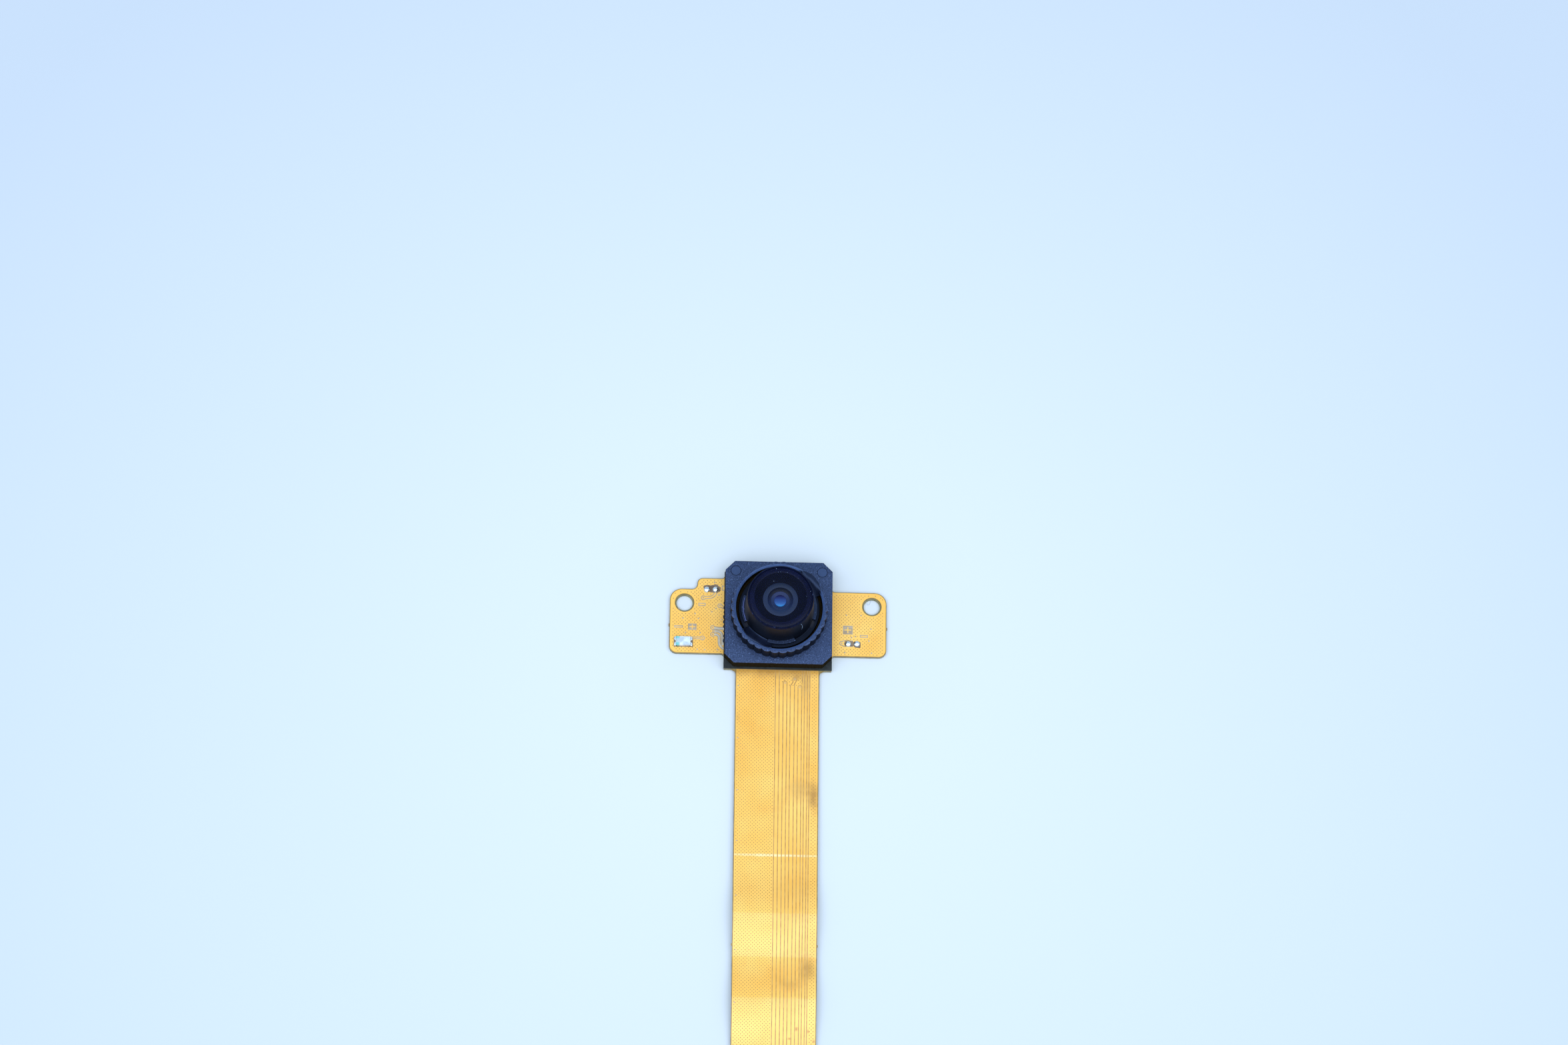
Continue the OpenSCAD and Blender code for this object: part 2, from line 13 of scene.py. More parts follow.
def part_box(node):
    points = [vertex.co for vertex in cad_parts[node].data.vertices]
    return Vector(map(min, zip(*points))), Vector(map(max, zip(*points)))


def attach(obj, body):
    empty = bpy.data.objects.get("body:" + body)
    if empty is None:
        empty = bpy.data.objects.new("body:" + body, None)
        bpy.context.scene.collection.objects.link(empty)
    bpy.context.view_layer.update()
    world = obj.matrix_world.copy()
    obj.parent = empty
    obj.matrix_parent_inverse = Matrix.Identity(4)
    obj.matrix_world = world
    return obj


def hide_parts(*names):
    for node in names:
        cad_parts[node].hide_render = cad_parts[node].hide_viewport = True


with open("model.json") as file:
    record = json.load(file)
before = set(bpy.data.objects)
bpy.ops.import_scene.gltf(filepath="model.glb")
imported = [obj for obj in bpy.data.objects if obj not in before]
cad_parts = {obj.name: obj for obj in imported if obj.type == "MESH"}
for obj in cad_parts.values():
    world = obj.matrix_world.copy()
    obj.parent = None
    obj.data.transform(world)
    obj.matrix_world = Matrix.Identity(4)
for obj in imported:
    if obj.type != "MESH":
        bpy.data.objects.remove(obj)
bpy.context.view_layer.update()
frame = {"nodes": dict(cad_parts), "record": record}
NODES = frame["nodes"]
MM = 0.001


def corners(node):
    """Lowest and highest corner of a CAD node, in millimetres."""
    low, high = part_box(node)
    return low / MM, high / MM


def points_of(node):
    return [v.co / MM for v in NODES[node].data.vertices]


# ---- places read from the frame
BOARD_LOW, BOARD_HIGH = corners("sensor_board")
PLATE_LOW, PLATE_HIGH = corners("head_stiffener")
POUR_LOW, POUR_HIGH = corners("conductors")
LAMP_LOW, LAMP_HIGH = (corner.xy for corner in corners("led_terminals"))
BARREL_LOW, BARREL_HIGH = corners("lens_barrel")
FLEX_LOW = corners("flex_circuit")[0]
GLUE_LOW = corners("lens_glue")[0]
HOLDER_HIGH = corners("lens_holder")[1]
GLASS_HIGH = corners("front_element")[1]

LAMP_AT, LAMP_SIZE = (LAMP_LOW + LAMP_HIGH) / 2, LAMP_HIGH - LAMP_LOW
BASE_HALF = HOLDER_HIGH.x
BOARD_HALF = BOARD_HIGH.x
Z_HEAD = BOARD_LOW.z
Z_COPPER = corners("via_rings")[1].z
Z_BOARD = BOARD_HIGH.z
Z_BASE = max(p.z for p in points_of("lens_holder") if abs(p.x) > BASE_HALF - 0.2)
Z_COLLAR = HOLDER_HIGH.z
Z_SHOULDER = GLUE_LOW.z - 0.03
Z_RIM = BARREL_HIGH.z
FLEX_T = Z_HEAD - PLATE_HIGH.z
COPPER_T = Z_COPPER - Z_HEAD
TAIL_START = BOARD_LOW.y
TAIL_END = FLEX_LOW.y
TAIL_HALF = POUR_HIGH.x + 0.4
MOUNT = next(m for m in frame["record"]["mounts"] if m["name"] == "wing_holes")
HOLE_X = MOUNT["dims"]["spacing_x_mm"] / 2
HOLE_Y = MOUNT["pos_m"][1] / MM
HOLE_R = MOUNT["dims"]["hole_r_mm"]
HOLES = [Vector((-HOLE_X, HOLE_Y)), Vector((HOLE_X, HOLE_Y))]


# ---- mesh making
def put(name, data):
    """Object of some data, linked to the scene."""
    obj = bpy.data.objects.new(name, data)
    bpy.context.scene.collection.objects.link(obj)
    return obj


def piece(name, meshes, material, stands_for=(), sharp=40):
    """Piece of one or more meshes in millimetres that rides on the part; sharp is the least angle of an edge."""
    mesh = join(meshes) if isinstance(meshes, list) else meshes
    mesh.name = name
    mesh.transform(Matrix.Scale(MM, 4))
    mesh.shade_smooth()
    mesh.set_sharp_from_angle(angle=math.radians(sharp))
    mesh.materials.clear()
    mesh.materials.append(material)
    obj = put(name, mesh)
    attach(obj, "root")
    if stands_for:
        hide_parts(*stands_for)


def mesh_of(verts, faces):
    mesh = bpy.data.meshes.new("mesh")
    mesh.from_pydata([tuple(v) for v in verts], [], faces)
    mesh.update()
    return mesh


def join(meshes):
    """One mesh of several."""
    verts, faces = [], []
    for mesh in meshes:
        faces += [[len(verts) + i for i in p.vertices] for p in mesh.polygons]
        verts += [v.co.copy() for v in mesh.vertices]
    return mesh_of(verts, faces)


def loft(loops, ends=False):
    """Skin over a row of closed loops with the same number of points."""
    n = len(loops[0])
    verts = [p for loop in loops for p in loop]
    faces = []
    for k in range(0, len(verts) - n, n):
        faces += [(k + i, k + (i + 1) % n, k + n + (i + 1) % n, k + n + i) for i in range(n)]
    if ends:
        faces += [tuple(reversed(range(n))), tuple(range(len(verts) - n, len(verts)))]
    return mesh_of(verts, faces)


def sweep(start, end, steps):
    """Evenly spaced values from start to end, both kept."""
    return [start + (end - start) * i / steps for i in range(steps + 1)]


def turns(steps):
    """Angles once round."""
    return sweep(0, 2 * math.pi, steps)[:-1]


def lathe(profile, steps=160, at=(0, 0)):
    """Turned skin through (radius, height) pairs; a radius of nought closes it."""
    x, y = at
    rings = [(max(r, 1e-4), z) for r, z in profile]
    return loft([[(x + r * math.cos(t), y + r * math.sin(t), z) for t in turns(steps)] for r, z in rings])


def rounded(profile, corner, steps=4):
    """The profile with every corner but its ends cut by a small arc."""
    out = [profile[0]]
    for a, b, c in zip(profile, profile[1:], profile[2:]):
        a, b, c = Vector(a), Vector(b), Vector(c)
        r = min(corner, (a - b).length / 2.2, (c - b).length / 2.2)
        p, q = b + (a - b).normalized() * r, b + (c - b).normalized() * r
        out += [tuple(p * (1 - t) ** 2 + b * 2 * t * (1 - t) + q * t * t) for t in sweep(0, 1, steps)]
    return out + [profile[-1]]


def mesh_from(curve):
    """Mesh of a curve, which is then removed."""
    obj = put("curve", curve)
    mesh = bpy.data.meshes.new_from_object(obj.evaluated_get(bpy.context.evaluated_depsgraph_get()))
    bpy.data.objects.remove(obj)
    return mesh


def add_spline(curve, kind, points):
    spline = curve.splines.new(kind)
    spline.points.add(len(points) - 1)
    for point, (x, y, z) in zip(spline.points, points):
        point.co = (x, y, z, 1)
    return spline


def filled(outlines, low, high, edge=0.01):
    """Flat sheet between two heights inside closed outlines, holes left open, with rounded rims."""
    curve = bpy.data.curves.new("curve", "CURVE")
    curve.dimensions, curve.fill_mode = "2D", "BOTH"
    curve.bevel_depth, curve.bevel_resolution, curve.offset = edge, 2, -edge
    curve.extrude = (high - low) / 2 - edge
    for outline in outlines:
        add_spline(curve, "POLY", [(x, y, 0) for x, y in outline]).use_cyclic_u = True
    mesh = mesh_from(curve)
    mesh.transform(Matrix.Translation((0, 0, (low + high) / 2)))
    return mesh


def thread(points, r):
    """Thin round fibre through points."""
    curve = bpy.data.curves.new("curve", "CURVE")
    curve.dimensions, curve.bevel_depth, curve.bevel_resolution, curve.resolution_u = "3D", r, 2, 8
    add_spline(curve, "NURBS", points).use_endpoint_u = True
    return mesh_from(curve)


def blob(x, y, z, rx, ry, rz, seed, steps=16, rows=8):
    """Irregular drop that sits on a surface."""
    loops = []
    for j in range(rows + 1):
        a = math.pi / 2 * j / rows
        loop = []
        for t in turns(steps):
            d = Vector((math.cos(t) * math.cos(a), math.sin(t) * math.cos(a), math.sin(a)))
            wob = 1 + 0.25 * noise.noise(d * 1.6 + Vector((seed, 0, 0)))
            loop.append((x + rx * d.x * wob, y + ry * d.y * wob, z + rz * d.z * wob))
        loops.append(loop)
    return loft(loops)


# ---- outlines
def top_outline(node):
    """Longest boundary loop of a CAD node's flat top."""
    mesh = NODES[node].data
    top = max(v.co.z for v in mesh.vertices)
    sides = {}
    for face in mesh.polygons:
        if face.normal.z > 0.99 and abs(face.center.z - top) < 1e-5:
            ids = [tuple(round(c / MM, 3) for c in mesh.vertices[i].co.xy) for i in face.vertices]
            sides.update(dict.fromkeys(zip(ids, ids[1:] + ids[:1])))
    after = {a: b for a, b in sides if (b, a) not in sides}
    loops = []
    while after:
        start, here = next(iter(after.items()))
        loop = [start]
        del after[start]
        while here != start:
            loop.append(here)
            here = after.pop(here)
        loops.append([Vector(p) for p in loop])
    return max(loops, key=len)


def area(loop):
    return sum(a.x * b.y - b.x * a.y for a, b in zip(loop, loop[1:] + loop[:1])) / 2


def grown(loop, by):
    """The outline moved outwards by a distance, or inwards if that is negative."""
    side = 1 if area(loop) > 0 else -1
    out = []
    for a, b, c in zip(loop[-1:] + loop[:-1], loop, loop[1:] + loop[:1]):
        d, e = (b - a).normalized(), (c - b).normalized()
        normal = Vector((d.y + e.y, -d.x - e.x)).normalized() * side
        fit = max(0.3, normal.dot(Vector((d.y, -d.x)) * side))
        out.append(b + normal * by / fit)
    return out


def cut_at(loop, x, keep):
    """The part of an outline beyond a line of constant x; keep is -1 or 1."""
    out = []
    for a, b in zip(loop, loop[1:] + loop[:1]):
        ina, inb = (a.x - x) * keep >= 0, (b.x - x) * keep >= 0
        if ina:
            out.append(a)
        if ina != inb:
            out.append(a + (b - a) * (x - a.x) / (b.x - a.x))
    return out


def arc(centre, r, angles=turns(72)):
    """Points at a distance from a centre, once round it if no angles are given."""
    return [Vector(centre) + Vector((r * math.cos(t), r * math.sin(t))) for t in angles]


def band(first, second, start, end, steps):
    """Outline between two radii about the lens axis and two angles in degrees."""
    angles = sweep(math.radians(start), math.radians(end), steps)
    return arc((0, 0), first, angles) + arc((0, 0), second, reversed(angles))


def inside(p, loop):
    hit = False
    for a, b in zip(loop, loop[1:] + loop[:1]):
        if (a.y > p.y) != (b.y > p.y) and p.x < a.x + (b.x - a.x) * (p.y - a.y) / (b.y - a.y):
            hit = not hit
    return hit


def in_box(p, x, y, w, h, margin):
    return abs(p.x - x) < w / 2 + margin and abs(p.y - y) < h / 2 + margin


# ---- the tail's curve
def tail_samples():
    """Heights of the copper's top along the tail, read from the CAD conductors and sheet."""
    tops = {}
    for p in points_of("conductors"):
        y = round(p.y, 2)
        tops[y] = max(tops.get(y, -9), p.z)
    end = max(p.z for p in points_of("flex_circuit") if p.y < TAIL_END + 0.01) + COPPER_T
    tops[TAIL_START] = Z_COPPER
    tops.update(dict.fromkeys(sweep(min(tops), TAIL_END, 4)[1:], end))
    return sorted(tops.items())


SAMPLES = tail_samples()
SAMPLE_Y = [y for y, z in SAMPLES]


def copper_z(y):
    """Height of the copper's top at y, smooth between the samples and level on the head."""
    if y >= TAIL_START:
        return Z_COPPER
    k = min(max(bisect.bisect_right(SAMPLE_Y, y) - 1, 0), len(SAMPLES) - 2)
    (y0, z0), (y1, z1) = SAMPLES[k], SAMPLES[k + 1]
    before, behind = SAMPLES[max(k - 1, 0)], SAMPLES[min(k + 2, len(SAMPLES) - 1)]
    m0 = (z1 - before[1]) / (y1 - before[0])
    m1 = (behind[1] - z0) / (behind[0] - y0)
    span, t = y1 - y0, (max(y, y0) - y0) / (y1 - y0)
    return (z0 * (1 + 2 * t) * (1 - t) ** 2 + m0 * span * t * (1 - t) ** 2
            + z1 * t * t * (3 - 2 * t) + m1 * span * t * t * (t - 1))


def along(y0, y1):
    """Places close enough together to follow the tail's waves."""
    return sweep(y0, y1, max(1, math.ceil(abs(y1 - y0) / 0.35)))


def tail_sheet(half, low, high, y0, y1, edge):
    """Long sheet that follows the tail; half gives its half width at y, low and high count from the copper."""
    loops = []
    for y in along(y0, y1):
        w, top, bottom = half(y), copper_z(y) + high, copper_z(y) + low
        rim = [(-w, bottom), (-w, top - edge), (-w + edge, top), (w - edge, top), (w, top - edge), (w, bottom)]
        loops.append([(x, y, z) for x, z in rim])
    return loft(loops, True)


# ---- copper artwork: places in mm
NECK_R = 0.8
GAPS = [-0.28, 0.30, 4.05, 4.50, 4.83]  # x of the straight gaps between conductors
ARCHES = [(0.88, 1.44, -10.26), (3.09, 3.65, -10.89)]  # a pair of gaps joined by an arch: their x, the arch's y
TURN_VIA = (2.6, -9.66)  # the via that the turning gap runs round
TURN_X = (1.94, 2.56)  # x of the turning gap's two ends
# x of the gaps that start wider and darker, a painted shade by the board's foot, and the y where that ends
SHADED = [(3.72, -10.2), (4.05, -12.2), (4.5, -11.6), (4.83, -12.8), (-0.28, -9.6), (0.3, -9.6)]
# vias down the tail's left edge
STITCHES = [(-5.78, y) for y in (-10.84, -19.0, -27.1, -35.0, -43.5, -51.7, -59.8, -68.0, -76.1)]

VIA_R = 0.24
GAP_W = 0.13
TRACES = [  # path from its first via or dome, width, whether a via starts it, whether its copper is bare
    # left wing, from the solder dome's via to the dome
    ([(-11.21, 2.82), (-9.95, 2.95), (-9.45, 3.35), (-9.35, 4.1)], 0.22, True, False),
    # left wing, from a via to the lamp
    ([(-11.24, -3.52), (-12.9, -3.56)], 0.14, True, False),
    # left wing, from two vias into the holder, and one more line between them
    ([(-9.75, -1.84), (-9.1, -1.95), (-8.0, -1.98)], 0.26, True, True),
    ([(-9.55, -2.38), (-8.9, -2.42), (-8.42, -2.7), (-8.3, -3.3), (-8.25, -4.6)], 0.2, False, True),
    ([(-9.73, -2.92), (-9.1, -2.92), (-8.78, -3.2), (-8.74, -4.55), (-8.1, -5.2)], 0.18, True, True),
    ([(-8.72, 1.62), (-8.0, 1.3)], 0.2, True, False),
    # right wing, from a via past both solder domes
    ([(9.95, -3.87), (11.2, -3.87)], 0.74, False, False),
    ([(9.54, -3.85), (10.2, -3.87)], 0.3, True, False),
]
# x, y, width and height of the minus marks and of the plus marks' boxes
BARS = [(-8.2, 4.42, 0.55, 0.8), (-14.83, -1.78, 1.29, 0.38), (-11.39, 1.76, 1.07, 0.5), (12.84, -2.66, 1.2, 0.42)]
CROSSES = [(-12.79, -1.78, 1.29, 1.0), (10.44, -1.73, 1.47, 1.37)]
DOMES = [(-10.69, 4.13), (-9.39, 4.18), (10.48, -3.92), (11.80, -3.88)]
PLAIN_VIAS = [
    (-14.2, -0.45), (-11.9, -0.45), (-14.8, 1.0), (-12.4, 0.3), (-8.9, 3.3), (-13.8, -2.7), (-11.6, -2.7),
    (-9.9, 0.65), (-8.4, -0.55), (-9.0, -5.3), (-12.0, -5.3), (-10.9, -5.35), (-9.3, 1.15), (-9.55, 5.3),
    (10.2, 0.6), (12.4, 0.6), (11.6, -2.75), (10.0, -5.3), (13.9, -1.5), (13.6, -3.4), (11.0, -2.9), (14.0, -5.3)]


def etched_lines():
    """Bare lines between the tail's conductors, with round ends over the vias that two of them start from."""
    top, end = TAIL_START - 0.05, POUR_LOW.y
    lines = [[Vector((x, top)), Vector((x, end))] for x in GAPS]
    for x0, x1, y in ARCHES:
        bend = arc(((x0 + x1) / 2, y), (x1 - x0) / 2, sweep(0, math.pi, 10))
        lines.append([Vector((x1, end))] + bend + [Vector((x0, end))])
    x0, x1 = TURN_X
    lines.append([Vector(p) for p in (
        (x0, end), (x0, -10.75), (2.34, -10.1), (2.3, -9.66), (2.42, -9.4), (2.65, -9.34), (2.88, -9.5),
        (2.9, -9.8), (x1 + 0.02, -10.4), (x1, -11), (x1, end))])
    return lines


def polyline_gap(p, path):
    """Distance from a point to a path."""
    best = 1e9
    for a, b in zip(path, path[1:]):
        ab = b - a
        t = max(0, min(1, (p - a).dot(ab) / ab.length_squared))
        best = min(best, (p - a - ab * t).length)
    return best


def ribbon(path, width, lift, closed=False):
    """Flat line along a path, laid on the copper."""
    pts = []
    for a, b in zip(path, path[1:]):
        pts += [a + (b - a) * t for t in sweep(0, 1, len(along(a.y, b.y)) - 1)[:-1]]
    pts.append(path[-1])
    verts = []
    for i, p in enumerate(pts):
        a, b = pts[max(i - 1, 0)], pts[min(i + 1, len(pts) - 1)]
        if closed and i in (0, len(pts) - 1):
            a, b = pts[-2], pts[1]
        d = (b - a).normalized()
        side = Vector((-d.y, d.x)) * width / 2
        verts += [(q.x, q.y, copper_z(q.y) + lift) for q in (p - side, p + side)]
    faces = [(2 * i, 2 * i + 2, 2 * i + 3, 2 * i + 1) for i in range(len(pts) - 1)]
    return mesh_of(verts, faces)


def open_ribbon(points, width, lift):
    """Ribbon along the longest run of outline points that lie close together."""
    jump = max(range(len(points)), key=lambda i: (points[i] - points[i - 1]).length)
    return ribbon(points[jump:] + points[:jump], width, lift)


def fan(n):
    """Faces between a middle vertex and the ring of n that follows it."""
    return [(0, i, i % n + 1) for i in range(1, n + 1)]


def disc(x, y, r, lift, dome=0.0, steps=20):
    """Small disc or dome laid on the copper."""
    verts = [(x, y, copper_z(y) + lift + dome)]
    for part, rise in ((0.6, 0.7), (1.0, 0.0)):
        for t in turns(steps):
            q = y + r * part * math.sin(t)
            verts.append((x + r * part * math.cos(t), q, copper_z(q) + lift + dome * rise))
    skirt = [(i, steps + i, steps + i % steps + 1, i % steps + 1) for i in range(1, steps + 1)]
    return mesh_of(verts, fan(steps) + skirt)


def splash(x, y, rx, ry, seed):
    """Flat irregular patch laid on the copper."""
    z, steps = copper_z(y) + 0.017, 40
    verts = [(x, y, z)]
    for t in turns(steps):
        d = Vector((math.cos(t), math.sin(t), seed))
        wob = 1 + 0.3 * noise.noise(d * 1.3) + 0.2 * noise.noise(d * 4)
        square = 1 / max(abs(d.x), abs(d.y)) ** 0.6
        verts.append((x + rx * d.x * wob * square, y + ry * d.y * wob * square, z))
    return mesh_of(verts, fan(steps))


def rectangle(x, y, w, h):
    return [Vector((x + sx * w / 2, y + sy * h / 2)) for sx, sy in ((-1, -1), (1, -1), (1, 1), (-1, 1))]


def label(outline, rise):
    """Thin sheet laid on the head's copper, its top at a rise over it."""
    return filled([outline], Z_COPPER - 0.01, Z_COPPER + rise, 0.002)


# ---- materials
def rgb(r, g, b):
    """Colour on a screen, 0 to 255, as the shader's linear colour."""
    curve = lambda c: c / 12.92 if c <= 0.04045 else ((c + 0.055) / 1.055) ** 2.4
    return tuple(curve(c / 255) for c in (r, g, b)) + (1,)


class Paint:
    """Builder of one procedural material."""

    def __init__(self, name, **sockets):
        self.mat = bpy.data.materials.new(name)
        self.mat.use_nodes = True
        self.tree = self.mat.node_tree
        self.bsdf = self.tree.nodes["Principled BSDF"]
        for socket, value in sockets.items():
            self.bsdf.inputs[socket.replace("_", " ")].default_value = value
        self.place = self.node("ShaderNodeTexCoord").outputs["Object"]

    def node(self, kind, inputs=(), **properties):
        """Node with its properties set, and each input linked to a socket or given a plain value."""
        n = self.tree.nodes.new(kind)
        for name, value in properties.items():
            setattr(n, name, value)
        for socket, source in dict(inputs).items():
            if isinstance(source, (tuple, float, int)):
                n.inputs[socket].default_value = source
            else:
                self.tree.links.new(source, n.inputs[socket])
        return n

    def set(self, socket, source):
        self.tree.links.new(source, self.bsdf.inputs[socket])

    def noise(self, scale, detail=3.0, roughness=0.55):
        inputs = {"Vector": self.place, "Scale": scale, "Detail": detail, "Roughness": roughness}
        return self.node("ShaderNodeTexNoise", inputs).outputs["Fac"]

    def ramp(self, source, stops):
        n = self.node("ShaderNodeValToRGB", {"Fac": source})
        first, last = n.color_ramp.elements
        first.position, first.color = stops[0]
        last.position, last.color = stops[-1]
        for at, colour in stops[1:-1]:
            n.color_ramp.elements.new(at).color = colour
        return n.outputs["Color"]

    def value(self, source, low, high, start=0.0, end=1.0):
        """A number that goes from low to high as the source goes from start to end."""
        inputs = {"Value": source, "From Min": start, "From Max": end, "To Min": low, "To Max": high}
        return self.node("ShaderNodeMapRange", inputs).outputs["Result"]

    def mix(self, fac, a, b, blend="MIX"):
        n = self.node("ShaderNodeMix", {0: fac, 6: a, 7: b}, data_type="RGBA", blend_type=blend)
        return n.outputs[2]

    def calc(self, operation, a, b=0.0):
        return self.node("ShaderNodeMath", {0: a, 1: b}, operation=operation).outputs[0]

    def vector(self, operation, a, b=(0, 0, 0)):
        return self.node("ShaderNodeVectorMath", {0: a, 1: b}, operation=operation).outputs

    def spot(self, x, y, rx, ry, depth):
        """Soft uneven patch round a place seen from above: depth in its middle, nought past its rim."""
        off = self.vector("SUBTRACT", self.place, (x * MM, y * MM, 0))[0]
        part = self.vector("MULTIPLY", off, (1 / (rx * MM), 1 / (ry * MM), 0))[0]
        uneven = self.value(self.noise(900, 3), -0.35, 0.35)
        return self.value(self.calc("ADD", self.vector("LENGTH", part)["Value"], uneven), depth, 0.0, 0.15, 1.0)

    def axis(self, name):
        return self.node("ShaderNodeSeparateXYZ", {"Vector": self.place}).outputs[name]

    def bump(self, source, height, strength=0.5):
        n = self.node("ShaderNodeBump", {"Height": source, "Strength": strength, "Distance": height * MM})
        self.set("Normal", n.outputs["Normal"])

    def mottled(self, dark, light, scale):
        """Base colour that wanders between two tones."""
        self.set("Base Color", self.ramp(self.noise(scale), [(0.35, dark), (0.65, light)]))

    def finish(self, colour, rough, grain, detail, height, strength):
        """The material with its colour, its roughness and a bump of a noise's grain."""
        self.set("Base Color", colour)
        self.set("Roughness", rough)
        self.bump(self.noise(grain, detail), height, strength)
        return self.mat


def plain(name, dark, light, scale, rough, rough_noise, relief=None, **sockets):
    """Mottled material of an uneven roughness; relief is its bump's noise scale, detail, height and strength."""
    p = Paint(name, **sockets)
    p.mottled(dark, light, scale)
    p.set("Roughness", p.value(p.noise(*rough_noise), *rough))
    if relief:
        grain, detail, height, strength = relief
        p.bump(p.noise(grain, detail), height, strength)
    return p.mat


# soft dark patches on the copper: real smears and spots, painted shade along the board's foot, and darker patches
# where the lines leave the board; x, y, half width, half length, depth of the tone
STAINS_AND_SHADE = [
    # painted shade and dark reflection of the holder along the board's foot
    (0, -8.2, 14, 1.6, 0.85),  # shade along the board's foot
    (2.9, -9.3, 1.0, 0.7, 0.6), (4.2, -10.2, 1.0, 3.2, 0.45),  # where the lines leave the board
    (5.5, -28.0, 1.2, 3.0, 0.85), (3.6, -27.0, 2.6, 2.4, 0.4),  # brown smear on the right edge
    (4.9, -54.4, 1.6, 2.6, 0.7), (2.2, -57.0, 2.0, 1.2, 0.3),  # the second smear
    (-5.8, -15.8, 0.5, 0.9, 0.35),
    (3.35, -63.55, 0.32, 0.42, 0.9), (5.06, -63.86, 0.26, 0.4, 0.8),  # four small spots low on the tail
    (2.39, -65.0, 0.36, 0.22, 0.8), (5.9, -65.3, 0.3, 0.34, 0.9)]
# painted highlight: a pale line across the tail where its crease catches the light
CREASE_HIGHLIGHT = (0, -37.15, 11, 0.26, 0.5)
SKY = (0.38, 0.53, 1.0, 1)  # the studio's bluish shine on black plastic


def gold(name="gold_under_film", dark=rgb(243, 176, 66), light=rgb(251, 195, 94)):
    """Copper under amber film: a warm metal with a glossy coat, paler and darker in soft patches, darker with real
    smears and spots and with painted shade along the board's foot, and with a painted highlight along the tail's
    crease.
    """
    p = Paint(name, Metallic=0.25, Coat_Weight=0.8, Coat_Roughness=0.07, Coat_IOR=1.5, Specular_IOR_Level=0.5)
    broad = p.ramp(p.noise(130, 2), [(0.3, dark), (0.7, light)])
    blotch = p.ramp(p.noise(420, 4), [(0.30, rgb(222, 176, 76)), (0.42, (1, 1, 1, 1))])
    tone = p.mix(0.12, broad, blotch, "MULTIPLY")
    # darken the smears, the spots and the painted shade along the board's foot
    for dark_patch in STAINS_AND_SHADE:
        tone = p.mix(p.spot(*dark_patch), tone, rgb(176, 122, 44))
    # paint the crease's highlight
    tone = p.mix(p.spot(*CREASE_HIGHLIGHT), tone, rgb(255, 246, 205))
    return p.finish(tone, p.value(p.noise(1500, 2), 0.32, 0.44), 260, 2, 0.03, 0.4)


def film():
    """Bare amber film with no copper under it."""
    return plain("bare_film", rgb(126, 96, 44), rgb(152, 122, 62), 900, (0.3, 0.45), (900, 2), (700, 2, 0.01, 0.3),
                 Coat_Weight=0.8, Coat_Roughness=0.1, Specular_IOR_Level=0.5)


def etched(name, dark, light):
    """Line where the copper is etched away."""
    return plain(name, dark, light, 1200, (0.35, 0.55), (2500, 2), (2500, 2, 0.01, 0.4),
                 Coat_Weight=0.6, Coat_Roughness=0.12)


def plastic(name, dark, light, rough, grain, depth, glint=None, specular=1.0):
    """Black moulded plastic with a fine grain and a bluish shine; glint is the colour of painted glints on a few of
    its grains.
    """
    p = Paint(name, Specular_IOR_Level=specular, Specular_Tint=SKY)
    tone = p.ramp(p.noise(grain, 3, 0.7), [(0.36, dark), (0.64, light)])
    # painted glints: bright specks on a few grains stand in for sparkles of light
    if glint:
        speck = p.node("ShaderNodeTexVoronoi", {"Vector": p.place, "Scale": grain * 0.8})
        near = p.value(speck.outputs["Distance"], 1, 0, 0.08, 0.34)
        keep = p.value(speck.outputs["Color"], 0, 1, 0.45, 0.95)
        tone = p.mix(p.calc("MULTIPLY", near, keep), tone, glint)
    p.set("Base Color", tone)
    p.set("Roughness", p.value(p.noise(grain * 0.7, 2), rough - 0.06, rough + 0.06))
    p.bump(p.noise(grain, 3, 0.7), depth, 0.5)
    return p.mat


def laminate(name, dark, light, edge=None):
    """Glass-fibre board with a faint mottle; edge is the tone along the foot of its cut sides."""
    p = Paint(name, Specular_IOR_Level=0.3)
    tone = p.ramp(p.noise(1500, 4), [(0.35, dark), (0.65, light)])
    if edge:
        tone = p.mix(p.value(p.axis("Z"), 1, 0, (Z_HEAD + 0.08) * MM, (Z_HEAD + 0.16) * MM), tone, edge)
    return p.finish(tone, p.value(p.noise(1200), 0.45, 0.6), 2600, 3, 0.008, 0.3)


def metal(name, dark, light, rough):
    return plain(name, dark, light, 2500, (rough - 0.1, rough + 0.1), (1500,), (2500, 3, 0.02, 0.35), Metallic=1.0)


def glass(name, tint, alpha, rough=0.05, specular=0.5):
    """Clear pane that only tints and shines; a trace of dust roughens it."""
    paler = tuple(c * 1.2 for c in tint[:3]) + (1,)
    return plain(name, tint, paler, 500, (rough, rough + 0.03), (300, 2), Alpha=alpha, Specular_IOR_Level=specular)


def shaded(name, stops, reach, rough, specular=0.3, painted_glow=0.0):
    """Inner face of the lens, with light and shade painted across it from side to side; stops are places from its
    far side to its near side and their tones, and the last argument makes it give off light as a painted reflection.
    """
    p = Paint(name, Specular_IOR_Level=specular, Emission_Strength=painted_glow)
    colours = [(at, rgb(*tone)) for at, *tone in stops]
    colour = p.ramp(p.value(p.axis("Y"), 0, 1, -reach * MM, reach * MM), colours)
    if painted_glow:
        p.set("Emission Color", colour)
    return p.finish(colour, p.value(p.noise(1500), rough, rough + 0.1), 1200, 3, 0.01, 0.2)


# ---- flex circuit
HEAD_OUTLINE = top_outline("head_stiffener")


